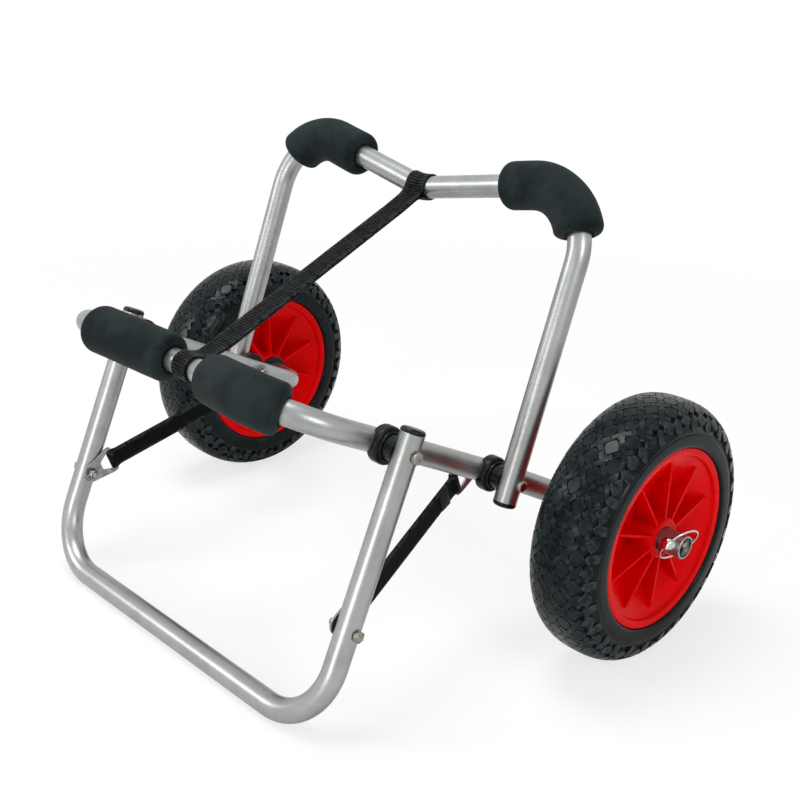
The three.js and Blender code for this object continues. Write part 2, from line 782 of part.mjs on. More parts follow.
// Lynch pins: a pin through the axle, and a wire ring through its head
function lynchPin() {
  const shank = pinBar(pinDiameter / 2, -tubeRadius - pinTipPast, pinHeadStart + touchGap);
  const head = pinBar(pinHeadDiameter / 2, pinHeadStart, pinHeadEnd);
  const hole = new THREE.CylinderGeometry(ringHoleDiameter / 2, ringHoleDiameter / 2,
    pinHeadDiameter + 2 * overrun, roundSides);
  hole.applyMatrix4(ringFrame());
  return cut(joined([shank, head]), [hole]);
}

// The ring's own frame at the head's hole: Y along the hole, X from the hole to its centre
function ringFrame() {
  const inward = pinDirection.clone().negate();
  const outboard = new THREE.Vector3(1, 0, 0);
  const across = outboard.clone().cross(inward);
  const alongHole = across.multiplyScalar(Math.cos(ringTwist))
    .addScaledVector(outboard, Math.sin(ringTwist));
  const frame = new THREE.Matrix4();
  frame.makeBasis(inward, alongHole, inward.clone().cross(alongHole));
  frame.setPosition(pinDirection.clone().multiplyScalar(ringHoleFromAxle).setX(pinX));
  return frame;
}
function pinRing() {
  const ring = new THREE.TorusGeometry(ringRadius, ringWireDiameter / 2, ringSides, ringSteps);
  ring.translate(ringRadius, 0, 0);
  ring.applyMatrix4(ringFrame());
  return ring;
}
for (const [side, sign] of sides) {
  const group = pointGroup(0, axleHeight);
  place(group, "lynch_pin_" + side, sided(lynchPin(), sign), steel);
  place(group, "pin_ring_" + side, sided(pinRing(), sign), steel);
}

// The origin is on the ground, under the middle of the cart's outer box
cart.position.y = axleBehindOrigin;

export default cart;
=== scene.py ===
"""Folding kayak cart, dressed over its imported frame.

Lengths in the classes below are in millimetres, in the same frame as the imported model; a piece is
turned into metres when it is finished.
"""

import logging
import math
from dataclasses import dataclass, field
from enum import Enum

import bmesh
import bpy
from mathutils import Matrix, Vector, noise

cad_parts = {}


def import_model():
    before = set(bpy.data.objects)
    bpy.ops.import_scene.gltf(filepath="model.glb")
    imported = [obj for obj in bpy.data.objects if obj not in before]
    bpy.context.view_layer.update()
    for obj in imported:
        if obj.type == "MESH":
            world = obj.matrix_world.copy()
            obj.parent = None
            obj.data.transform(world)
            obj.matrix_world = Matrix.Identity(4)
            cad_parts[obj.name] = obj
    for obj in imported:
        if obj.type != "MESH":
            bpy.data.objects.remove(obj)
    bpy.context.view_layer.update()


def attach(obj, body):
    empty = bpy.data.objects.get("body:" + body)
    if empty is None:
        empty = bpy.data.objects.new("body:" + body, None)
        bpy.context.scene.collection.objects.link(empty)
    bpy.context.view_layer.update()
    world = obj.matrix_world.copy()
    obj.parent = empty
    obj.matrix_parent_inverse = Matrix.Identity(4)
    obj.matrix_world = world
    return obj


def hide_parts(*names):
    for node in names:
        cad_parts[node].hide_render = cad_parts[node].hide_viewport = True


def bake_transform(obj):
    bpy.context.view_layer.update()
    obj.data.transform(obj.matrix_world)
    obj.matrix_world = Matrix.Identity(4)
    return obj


Form = bmesh.types.BMesh
Pair = tuple[float, float]
Profile = list[Pair]
Triple = tuple[float, float, float]

LOG = logging.getLogger("kayak_cart")
METRES = 0.001
WELD = 1e-4
SHARP_ANGLE = math.radians(34)


class Side(Enum):
    """The two sides of the cart."""

    LEFT = -1
    RIGHT = 1

    @property
    def word(self) -> str:
        """The side's name as the node names spell it."""
        return self.name.lower()


class Coordinates(Enum):
    """What a finish's patterns follow."""

    OBJECT = "object"
    FLOW = "flow"


# Shader groups that several finishes share


FLOAT, VECTOR = "NodeSocketFloat", "NodeSocketVector"


class Nodes:
    """Places and joins the nodes of one tree."""

    def __init__(self, tree: bpy.types.NodeTree) -> None:
        """Keeps the tree that the nodes go into."""
        self.tree = tree

    def add(self, kind: str, settings: dict[str, object] | None = None,
            **sockets: object) -> bpy.types.Node:
        """Adds a node and fills its inputs.

        Args:
            kind: The node's type.
            settings: Properties of the node itself.
            **sockets: Input name, with spaces as underscores, or i and its number, to a value or
                an output socket.

        Returns:
            The new node.
        """
        node = self.tree.nodes.new(kind)
        for label, value in (settings or {}).items():
            setattr(node, label, value)
        for label, value in sockets.items():
            numbered = label[0] == "i" and label[1:].isdigit()
            key = int(label[1:]) if numbered else label.replace("_", " ")
            if isinstance(value, bpy.types.NodeSocket):
                self.link(value, node.inputs[key])
            else:
                node.inputs[key].default_value = value
        return node

    def link(self, source: bpy.types.NodeSocket, target: bpy.types.NodeSocket) -> None:
        """Joins an output to an input."""
        self.tree.links.new(source, target)

    def group(self, name: str, **sockets: object) -> bpy.types.Node:
        """Adds a shared shader group, which is made on its first use."""
        tree = bpy.data.node_groups.get(name) or GROUP_MAKERS[name]()
        return self.add("ShaderNodeGroup", {"node_tree": tree}, **sockets)

    def math(self, operation: str, first: object, second: object = 0.5) -> bpy.types.NodeSocket:
        """Adds a Math node and returns its output."""
        node = self.add("ShaderNodeMath", {"operation": operation}, i0=first, i1=second)
        return node.outputs[0]

    def mix(self, mask: object, first: object, second: object) -> bpy.types.NodeSocket:
        """Mixes two colours by a mask and returns the colour."""
        node = self.add("ShaderNodeMix", {"data_type": "RGBA"}, i0=mask, i6=first, i7=second)
        return node.outputs[2]

    def cloud(self, place: object, scale: object, detail: float = 2.0,
              roughness: float = 0.5) -> bpy.types.NodeSocket:
        """Adds a noise pattern and returns its value."""
        node = self.add("ShaderNodeTexNoise", Vector=place, Scale=scale, Detail=detail,
                        Roughness=roughness)
        return node.outputs["Fac"]

    def ramp(self, value: object, bounds: tuple[object, object],
             goal: Pair = (0.0, 1.0), kind: str = "LINEAR") -> bpy.types.NodeSocket:
        """Maps a value from one pair of bounds to another and returns it."""
        node = self.add("ShaderNodeMapRange", {"interpolation_type": kind}, Value=value,
                        From_Min=bounds[0], From_Max=bounds[1], To_Min=goal[0], To_Max=goal[1])
        return node.outputs["Result"]

    def spread(self, value: object, low: object, high: object) -> bpy.types.NodeSocket:
        """Stretches a value between two bounds over 0 to 1, smoothly."""
        return self.ramp(value, (low, high), kind="SMOOTHSTEP")


class Group(Nodes):
    """The inside of a shader group that takes a place and some numbers."""

    def __init__(self, name: str, numbers: dict[str, float], results: dict[str, str]) -> None:
        """Makes the group with its sockets.

        Args:
            name: The group's name.
            numbers: Each number that goes in, with its default.
            results: Each socket that comes out, with its type.
        """
        super().__init__(bpy.data.node_groups.new(name, "ShaderNodeTree"))
        sides = self.tree.interface
        sides.new_socket(name="Vector", in_out="INPUT", socket_type=VECTOR)
        for label, value in numbers.items():
            socket = sides.new_socket(name=label, in_out="INPUT", socket_type=FLOAT)
            socket.default_value = value
        for label, kind in results.items():
            sides.new_socket(name=label, in_out="OUTPUT", socket_type=kind)
        self.given = self.tree.nodes.new("NodeGroupInput").outputs
        self.results = self.tree.nodes.new("NodeGroupOutput").inputs

    def finish(self, **sockets: bpy.types.NodeSocket) -> bpy.types.ShaderNodeTree:
        """Joins what comes out of the group and returns the group's tree."""
        for label, socket in sockets.items():
            self.link(socket, self.results[label])
        return self.tree


def mottle_group() -> bpy.types.ShaderNodeTree:
    """A soft cloudy mask, for colour that isn't quite even.

    Returns:
        The group.
    """
    group = Group("mottle", {"Scale": 40.0, "Low": 0.4, "High": 0.65}, {"Mask": FLOAT})
    given = group.given
    cloud = group.cloud(given["Vector"], given["Scale"], 4.0, 0.6)
    return group.finish(Mask=group.spread(cloud, given["Low"], given["High"]))


def grain_group() -> bpy.types.ShaderNodeTree:
    """Fine relief: a cellular grain over a soft unevenness, as a normal.

    Returns:
        The group.
    """
    group = Group("grain", {"Scale": 900.0, "Strength": 0.2, "Distance": 0.0002, "Waves": 60.0},
                  {"Normal": VECTOR, "Height": FLOAT})
    given = group.given
    cells = group.cloud(given["Vector"], given["Scale"])
    waves = group.cloud(given["Vector"], given["Waves"], 1.0)
    height = group.math("ADD", cells, waves)
    bump = group.add("ShaderNodeBump", Strength=given["Strength"], Distance=given["Distance"],
                     Height=height)
    return group.finish(Normal=bump.outputs["Normal"], Height=height)


def edge_group() -> bpy.types.ShaderNodeTree:
    """A mask of outer edges, broken up so that it isn't a drawn line. On the tyre and the webbing
    its colour is a painted highlight, glints along block edges and rib crests; on the black plastic
    and the plate it lightens the outer edges.

    Returns:
        The group.
    """
    group = Group("edge_wear", {"Low": 0.53, "High": 0.62, "Break": 180.0}, {"Mask": FLOAT})
    given = group.given
    shape = group.add("ShaderNodeNewGeometry")
    edge = group.spread(shape.outputs["Pointiness"], given["Low"], given["High"])
    patches = group.spread(group.cloud(given["Vector"], given["Break"], 3.0), 0.35, 0.6)
    return group.finish(Mask=group.math("MULTIPLY", edge, patches))


def streak_group() -> bpy.types.ShaderNodeTree:
    """Drawn lines along a tube, from the coordinates that follow it.

    Returns:
        The group.
    """
    group = Group("streaks", {"Scale": 1.0}, {"Mask": FLOAT})
    drawn = group.add("ShaderNodeVectorMath", {"operation": "MULTIPLY"}, i0=group.given["Vector"],
                      i1=(1.0, 1.0, 0.012))
    lines = group.cloud(drawn.outputs[0], group.given["Scale"], 3.0, 0.7)
    return group.finish(Mask=group.spread(lines, 0.3, 0.7))


GROUP_MAKERS = {"mottle": mottle_group, "grain": grain_group, "edge_wear": edge_group,
                "streaks": streak_group}


def new_material(name: str) -> tuple[bpy.types.Material, Nodes, bpy.types.Node]:
    """Makes a material with the usual surface shader.

    Args:
        name: The material's name.

    Returns:
        The material, its nodes, and its surface shader.
    """
    material = bpy.data.materials.new(name)
    material.use_nodes = True
    return material, Nodes(material.node_tree), material.node_tree.nodes["Principled BSDF"]


@dataclass(frozen=True)
class Finish:
    """One surface finish of the cart.

    The colours are linear. The patterns' scales are per metre.
    """

    name: str
    slot: str
    colour: Triple
    mottled: Triple
    roughness: Pair
    metallic: float = 0.0
    mottle_scale: float = 45.0
    grain_scale: float = 900.0
    grain_strength: float = 0.2
    grain_depth: float = 0.0002
    # Colour of the outer edges: a painted highlight on the tyre and the webbing, a lighter edge on
    # the black plastic and the plate.
    edge: Triple | None = None
    edge_bounds: Pair = (0.53, 0.62)
    specular: float = 0.5
    sheen: float = 0.0
    streaks: float = 0.0
    follows: Coordinates = Coordinates.OBJECT

    def material(self) -> bpy.types.Material:
        """Builds the material, once.

        Returns:
            The material.
        """
        ready = bpy.data.materials.get(self.name)
        if ready:
            return ready
        material, nodes, shader = new_material(self.name)
        for label, value in (("Metallic", self.metallic), ("Specular IOR Level", self.specular),
                             ("Sheen Weight", self.sheen)):
            shader.inputs[label].default_value = value
        if self.follows is Coordinates.FLOW:
            place = nodes.add("ShaderNodeAttribute", {"attribute_name": "flow"}).outputs["Vector"]
        else:
            place = nodes.add("ShaderNodeTexCoord").outputs["Object"]
        mottle = nodes.group("mottle", Vector=place, Scale=self.mottle_scale).outputs["Mask"]
        colour = nodes.mix(mottle, (*self.colour, 1), (*self.mottled, 1))
        uneven = mottle
        if self.streaks:
            uneven = nodes.group("streaks", Vector=place, Scale=self.streaks).outputs["Mask"]
        # Outer edges take the edge colour: a painted highlight on the tyre and the webbing, lighter
        # edges on the black plastic and the plate.
        if self.edge:
            edge_wear_and_glint_mask = nodes.group("edge_wear", Vector=place, Low=self.edge_bounds[0],
                               High=self.edge_bounds[1]).outputs["Mask"]
            colour = nodes.mix(edge_wear_and_glint_mask, colour, (*self.edge, 1))
        grain = nodes.group("grain", Vector=place, Scale=self.grain_scale,
                            Strength=self.grain_strength, Distance=self.grain_depth)
        nodes.link(colour, shader.inputs["Base Color"])
        nodes.link(nodes.ramp(uneven, (0.0, 1.0), self.roughness), shader.inputs["Roughness"])
        nodes.link(self.relief(nodes, place, grain), shader.inputs["Normal"])
        return material

    def relief(self, nodes: Nodes, place: object, grain: bpy.types.Node) -> object:
        """The finish's normal: plain grain, unless a kind of finish adds its own."""
        return grain.outputs["Normal"]


@dataclass(frozen=True)
class WovenFinish(Finish):
    """Webbing: yarns that cross the band, seen as fine slanted twill between its ribs."""

    yarn: float = 1.05
    slant: float = 0.7
    yarn_strength: float = 0.55
    yarn_depth: float = 0.00022

    def relief(self, nodes: Nodes, place: object, grain: bpy.types.Node) -> object:
        """Adds the yarns' relief to the grain.

        Args:
            nodes: The material's nodes.
            place: Coordinates along and across the band, in metres.
            grain: The grain that the other finishes use.

        Returns:
            The normal socket.
        """
        parts = nodes.add("ShaderNodeSeparateXYZ", Vector=place)
        turn = 2 * math.pi / (self.yarn * METRES)
        across = nodes.math("MULTIPLY", parts.outputs["X"], turn)
        along = nodes.math("MULTIPLY", parts.outputs["Z"], turn * self.slant)
        weave = nodes.math("SINE", nodes.math("ADD", across, along))
        height = nodes.math("ADD", nodes.math("MULTIPLY", weave, 0.5), grain.outputs["Height"])
        bump = nodes.add("ShaderNodeBump", Strength=self.yarn_strength,
                         Distance=self.yarn_depth, Height=height)
        return bump.outputs["Normal"]


class Finishes:
    """Every finish on the cart, by what it covers."""

    TUBE = Finish("anodised_tube", "tube", (0.35, 0.361, 0.353), (0.31, 0.321, 0.313), (0.33, 0.39),
                  metallic=1.0, grain_scale=2600, grain_strength=0.06, grain_depth=0.00005,
                  streaks=1400.0, follows=Coordinates.FLOW)
    FOAM = Finish("closed_cell_foam", "foam", (0.003, 0.0075, 0.008), (0.0145, 0.0225, 0.023),
                  (0.7, 0.85), mottle_scale=26, grain_scale=900, grain_strength=1.0,
                  grain_depth=0.0005, specular=0.1, sheen=0.02)
    # The tyre's edge colour is a painted highlight: light glints along the edges of the tread
    # blocks.
    RUBBER = Finish("tyre_rubber", "tyre", (0.0012, 0.004, 0.005), (0.005, 0.0095, 0.0105),
                    (0.18, 0.28), mottle_scale=60, grain_scale=1800, grain_strength=0.12,
                    grain_depth=0.00012, specular=0.12, edge=(0.05, 0.06, 0.064),
                    edge_bounds=(0.54, 0.64))
    RED = Finish("red_rim_plastic", "rim", (0.72, 0.0004, 0.001), (0.64, 0.0003, 0.0008),
                 (0.26, 0.34), grain_scale=1500, grain_strength=0.05, grain_depth=0.0001,
                 specular=0.05)
    BLACK = Finish("moulded_black", "black_plastic", (0.002, 0.0032, 0.004),
                   (0.005, 0.0068, 0.0078), (0.24, 0.36), grain_scale=2200, grain_strength=0.15,
                   grain_depth=0.0001, specular=0.18, edge=(0.012, 0.015, 0.017))
    # The webbing's edge colour is a painted highlight on the crests of its ribs.
    WEBBING = WovenFinish("ribbed_webbing", "webbing", (0.0015, 0.002, 0.0024),
                          (0.004, 0.005, 0.0055), (0.38, 0.5), mottle_scale=70,
                          grain_scale=3000, specular=0.03, edge=(0.03, 0.034, 0.036),
                          edge_bounds=(0.503, 0.53), follows=Coordinates.FLOW, sheen=0.02)
    STEEL = Finish("stainless_fasteners", "fasteners", (0.31, 0.298, 0.262), (0.2, 0.19, 0.165),
                   (0.2, 0.32), metallic=1.0, mottle_scale=160, grain_scale=2600,
                   grain_strength=0.08, grain_depth=0.00005)
    PLATE = Finish("pressed_steel", "bracket_plate", (0.3, 0.305, 0.31), (0.2, 0.205, 0.21),
                   (0.3, 0.42), metallic=1.0, mottle_scale=140, grain_scale=2200,
                   grain_strength=0.12, grain_depth=0.0001, edge=(0.5, 0.5, 0.5))
    BRIGHT = Finish("polished_steel", "bright_steel", (0.6, 0.6, 0.59), (0.52, 0.52, 0.51),
                    (0.1, 0.2), metallic=1.0, mottle_scale=200, grain_scale=2600,
                    grain_strength=0.05, grain_depth=0.00004)


# Making and finishing meshes


def new_object(name: str, data: bpy.types.ID) -> bpy.types.Object:
    """Makes an object and puts it in the scene.

    Args:
        name: The object's name.
        data: Its mesh, lamp or camera.

    Returns:
        The object.
    """
    made = bpy.data.objects.new(name, data)
    bpy.context.scene.collection.objects.link(made)
    return made


def mesh_from(bm: Form, name: str) -> bpy.types.Mesh:
    """Makes a mesh from a form.

    Args:
        bm: The form. It is used up.
        name: The mesh's name.

    Returns:
        The mesh.
    """
    mesh = bpy.data.meshes.new(name)
    bm.to_mesh(mesh)
    bm.free()
    return mesh


def verts_in(made: list[object]) -> list[bmesh.types.BMVert]:
    """The vertices among what an operator made."""
    return [g for g in made if isinstance(g, bmesh.types.BMVert)]


def moved(bm: Form, offset: Vector | tuple[float, ...]) -> Form:
    """Moves a form and returns it."""
    bmesh.ops.translate(bm, vec=offset, verts=bm.verts)
    return bm


def turned(bm: Form, angle: float, axis: str) -> Form:
    """Turns a form about one of the frame's axes and returns it."""
    bmesh.ops.rotate(bm, matrix=Matrix.Rotation(angle, 3, axis), verts=bm.verts)
    return bm


def placed(bm: Form, matrix: Matrix) -> Form:
    """Puts a form through a matrix and returns it."""
    bmesh.ops.transform(bm, matrix=matrix, verts=bm.verts)
    return bm


def eased(bm: Form, geom: list[object], offset: float, segments: int,
          affect: str = "EDGES") -> Form:
    """Rounds edges or corners of a form.

    Args:
        bm: The form.
        geom: The edges or corners.
        offset: Width of the rounding.
        segments: Number of steps in it.
        affect: EDGES or VERTICES.

    Returns:
        The form.
    """
    bmesh.ops.bevel(bm, geom=geom, offset=offset, segments=segments, profile=0.5, affect=affect,
                    material=-1)
    return bm


def square(size: float) -> Form:
    """A flat square round the origin.

    Args:
        size: How far it reaches from the origin each way.

    Returns:
        The square.
    """
    bm = bmesh.new()
    bmesh.ops.create_grid(bm, x_segments=1, y_segments=1, size=size)
    return bm


def prism(corners: list[Triple], depth: Triple) -> Form:
    """Pushes a flat face out into a solid.

    Args:
        corners: The face's corners.
        depth: How far it is pushed, along each axis.

    Returns:
        The form.
    """
    bm = bmesh.new()
    face = bm.faces.new([bm.verts.new(corner) for corner in corners])
    made = bmesh.ops.extrude_face_region(bm, geom=[face])["geom"]
    bmesh.ops.translate(bm, vec=depth, verts=verts_in(made))
    return bm


def axes(x: Vector, y: Vector, z: Vector) -> Matrix:
    """The turn that brings the frame's own axes to three given ones."""
    return Matrix((x, y, z)).transposed().to_4x4()


def pointing(start: Vector, along: Vector) -> Matrix:
    """Moves the origin to a point and turns the X axis to a direction."""
    turn = Vector((1, 0, 0)).rotation_difference(along).to_matrix().to_4x4()
    return Matrix.Translation(start) @ turn


def dome(face: float, radius: float, rounding: float, steps: int) -> Profile:
    """The rounded edge of a turned end, from its side to its face.

    Args:
        face: Place of the end's face along the line.
        radius: Radius of its side.
        rounding: Radius of the rounding.
        steps: Number of steps in it.

    Returns:
        Places along the line and radii.
    """
    turns = [math.pi / 2 * k / steps for k in range(steps + 1)]
    return [(face - rounding * (1 - math.sin(t)), radius - rounding * (1 - math.cos(t)))
            for t in turns]


def mirrored_for(bm: Form, side: Side) -> Form:
    """Mirrors a form made for the right side over to the left."""
    if side is Side.LEFT:
        bmesh.ops.scale(bm, vec=(-1, 1, 1), verts=bm.verts)
    return bm


def finish_piece(bm: Form, node: str, ending: str, finish: Finish,
                 body: str | None = None, bevel: float = 0.0) -> bpy.types.Object:
    """Turns a bmesh into a finished piece that stands for a node.

    Args:
        bm: The form, in millimetres. It is used up.
        node: The CAD node that it stands for, whose name it carries on.
        ending: The rest of its name.
        finish: Its finish.
        body: The body that it rides on, if any.
        bevel: Width of the rounding along its sharp edges, in millimetres.

    Returns:
        The piece.
    """
    bmesh.ops.remove_doubles(bm, verts=bm.verts, dist=WELD)
    bmesh.ops.scale(bm, vec=(METRES,) * 3, verts=bm.verts)
    bmesh.ops.recalc_face_normals(bm, faces=bm.faces)
    for face in bm.faces:
        face.smooth = True
    for edge in bm.edges:
        if edge.calc_face_angle(0.0) > SHARP_ANGLE:
            edge.smooth = False
    name = f"{node}_{ending}"
    mesh = mesh_from(bm, name)
    piece = new_object(name, mesh)
    mesh.materials.append(finish.material())
    if bevel:
        rounding = piece.modifiers.new("edge_rounding", "BEVEL")
        rounding.width = bevel * METRES
        rounding.segments = 2
        rounding.limit_method = "ANGLE"
        rounding.angle_limit = SHARP_ANGLE
    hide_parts(node)
    if body:
        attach(piece, body)
    LOG.info("%s: %d faces", name, len(mesh.polygons))
    return piece


def finish_sided(bm: Form, side: Side, label: str, ending: str, finish: Finish,
                 body: str | None = None, bevel: float = 0.0) -> bpy.types.Object:
    """Finishes a form made for the right side as a piece of one of the two sides."""
    return finish_piece(mirrored_for(bm, side), f"{label}_{side.word}", ending, finish, body,
                        bevel)


def carve(bm: Form, *tools: Form) -> Form:
    """Cuts closed forms out of another with Blender's exact boolean.

    Args:
        bm: The form that is cut. It is used up.
        *tools: The forms that cut it. They are used up.

    Returns:
        The cut form.
    """
    helpers = []
    for form in (bm, *tools):
        bmesh.ops.recalc_face_normals(form, faces=form.faces)
        helpers.append(new_object("helper", mesh_from(form, "helper")))
    target = helpers[0]
    for tool in helpers[1:]:
        cut = target.modifiers.new("cut", "BOOLEAN")
        cut.operation = "DIFFERENCE"
        cut.solver = "EXACT"
        cut.object = tool
    evaluated = target.evaluated_get(bpy.context.evaluated_depsgraph_get())
    result = bmesh.new()
    result.from_mesh(evaluated.to_mesh())
    evaluated.to_mesh_clear()
    for helper in helpers:
        mesh = helper.data
        bpy.data.objects.remove(helper)
        bpy.data.meshes.remove(mesh)
    return result


def lathe(profile: Profile, steps: int, centre: Pair = (0, 0),
          closed: bool = False) -> Form:
    """Spins a profile about a line along X.

    Args:
        profile: Points as place along X and radius.
        steps: Number of steps round.
        centre: The line's y and z.
        closed: True joins the profile's last point to its first.

    Returns:
        The form.
    """
    bm = bmesh.new()
    points = [bm.verts.new((x, radius, 0)) for x, radius in profile]
    pairs = list(zip(points, points[1:]))
    if closed:
        pairs.append((points[-1], points[0]))
    lines = [bm.edges.new(pair) for pair in pairs]
    bmesh.ops.spin(bm, geom=points + lines, cent=(0, 0, 0), axis=(1, 0, 0), dvec=(0, 0, 0),
                   angle=2 * math.pi, steps=steps, use_merge=True)
    bmesh.ops.remove_doubles(bm, verts=bm.verts, dist=WELD)
    return moved(bm, (0, *centre))


def rod(radius: float, start: Vector, end: Vector, sides: int = 24) -> Form:
    """A plain round bar between two points, for cuts and pins.

    Args:
        radius: Its radius.
        start: Centre of one end.
        end: Centre of the other.
        sides: Number of sides.

    Returns:
        The bar.
    """
    bm = bmesh.new()
    run = end - start
    bmesh.ops.create_cone(bm, cap_ends=True, segments=sides, radius1=radius, radius2=radius,
                          depth=run.length)
    turn = Vector((0, 0, 1)).rotation_difference(run).to_matrix().to_4x4()
    return placed(bm, Matrix.Translation((start + end) / 2) @ turn)


def joined(*forms: Form) -> Form:
    """Puts several forms into the first one.

    Args:
        *forms: The forms. All but the first are used up.

    Returns:
        The first form.
    """
    first = forms[0]
    for form in forms[1:]:
        mesh = mesh_from(form, "joined")
        first.from_mesh(mesh)
        bpy.data.meshes.remove(mesh)
    return first


@dataclass
class Station:
    """One place on a path: how far along it lies, where it is, and its own axes."""

    along: float
    point: Vector
    tangent: Vector
    across: Vector

    def matrix(self) -> Matrix:
        """Axes of the station: across the path's plane, in it, and along the path."""
        inward = self.tangent.cross(self.across)
        return Matrix.Translation(self.point) @ axes(self.across, inward, self.tangent)


@dataclass
class Run:
    """Straight lengths joined by bends, in one plane.

    Each corner is x, y and bend radius in the plane's own axes.
    """

    corners: list[Triple]
    plane: Matrix
    spacing: float = 4.0

    def flat_points(self) -> list[tuple[Vector, Vector]]:
        """Works out the points and tangents of the path in its own plane.

        Returns:
            Point and tangent pairs, in order.
        """
        points = [Vector((x, y, 0)) for x, y, _ in self.corners]
        out = [(points[0], (points[1] - points[0]).normalized())]
        for i in range(1, len(points) - 1):
            before = (points[i] - points[i - 1]).normalized()
            after = (points[i + 1] - points[i]).normalized()
            turn, radius = before.angle(after), self.corners[i][2]
            axis = before.cross(after).normalized()
            start = points[i] - before * radius * math.tan(turn / 2)
            arm = axis.cross(before) * radius
            steps = max(2, math.ceil(turn * radius / self.spacing))
            for k in range(steps + 1):
                spin = Matrix.Rotation(turn * k / steps, 3, axis)
                out.append((start + arm - spin @ arm, spin @ before))
        out.append((points[-1], (points[-1] - points[-2]).normalized()))
        return out

    def stations(self) -> list[Station]:
        """The path's stations in the cart's frame, with long straight lengths divided.

        Returns:
            The stations.
        """
        flat = self.flat_points()
        turn = self.plane.to_3x3()
        across = turn @ Vector((0, 0, 1))
        out, along = [], 0.0
        for (a, heading), (b, after) in zip(flat, flat[1:]):
            length = (b - a).length
            parts = max(1, round(length / (self.spacing * 4)))
            for k in range(parts):
                share = k / parts
                tangent = heading.lerp(after, share).normalized()
                out.append(Station(along + length * share, self.plane @ a.lerp(b, share),
                                   turn @ tangent, across))
            along += length
        out.append(Station(along, self.plane @ flat[-1][0], turn @ flat[-1][1], across))
        return out

    def length(self) -> float:
        """Length of the path."""
        return self.stations()[-1].along

    def place(self, along: float) -> Station:
        """The station at a distance along the path.

        Args:
            along: The distance.

        Returns:
            The station, between its two neighbours.
        """
        stations = self.stations()
        for a, b in zip(stations, stations[1:]):
            if along <= b.along:
                share = (along - a.along) / (b.along - a.along)
                return Station(along, a.point.lerp(b.point, share),
                               a.tangent.lerp(b.tangent, share).normalized(), a.across)
        return stations[-1]

    def stretch(self, start: float, end: float, extra: list[float]) -> list[Station]:
        """Stations between two distances.

        Args:
            start: Where the stretch starts.
            end: Where it ends.
            extra: Further distances, measured inwards from each end, that get a station.

        Returns:
            The stations, in order.
        """
        inner = [s for s in self.stations() if start + max(extra) < s.along < end - max(extra)]
        marks = [start + e for e in extra] + [end - e for e in reversed(extra)]
        return sorted(inner + [self.place(m) for m in marks], key=lambda s: s.along)


def sweep(section: Profile, rings: list[tuple[Station, float, float]]) -> Form:
    """Extrudes a closed section from station to station, and joins the last to the first.

    Each vertex keeps where it is on the straightened form in its flow attribute, in metres.

    Args:
        section: The section's corners, across the path and in its plane.
        rings: Station, with the section's scale across and in the plane, for each ring.

    Returns:
        The form.
    """
    bm = bmesh.new()
    flow = bm.verts.layers.float_vector.new("flow")
    verts = [bm.verts.new((x, y, 0)) for x, y in section]
    edges = [bm.edges.new((a, b)) for a, b in zip(verts, verts[1:] + verts[:1])]
    first_edges = edges
    before = Matrix.Identity(4)
    for i, (station, wide, thick) in enumerate(rings):
        if i:
            made = bmesh.ops.extrude_edge_only(bm, edges=edges)["geom"]
            verts = verts_in(made)
            fresh = set(verts)
            edges = [g for g in made if isinstance(g, bmesh.types.BMEdge)
                     and g.verts[0] in fresh and g.verts[1] in fresh]
        after = station.matrix() @ Matrix.Diagonal((wide, thick, 1, 1))
        bmesh.ops.transform(bm, matrix=after @ before.inverted(), verts=verts)
        before = after
        plain = station.matrix().inverted()
        for vert in verts:
            local = plain @ vert.co
            vert[flow] = Vector((local.x, local.y, station.along)) * METRES
    bmesh.ops.bridge_loops(bm, edges=first_edges + edges)
    return bm


def circle(sides: int) -> Profile:
    """Corners of a round section of radius one."""
    turns = [2 * math.pi * (k + 0.5) / sides for k in range(sides)]
    return [(math.cos(t), math.sin(t)) for t in turns]


# The cart's own places


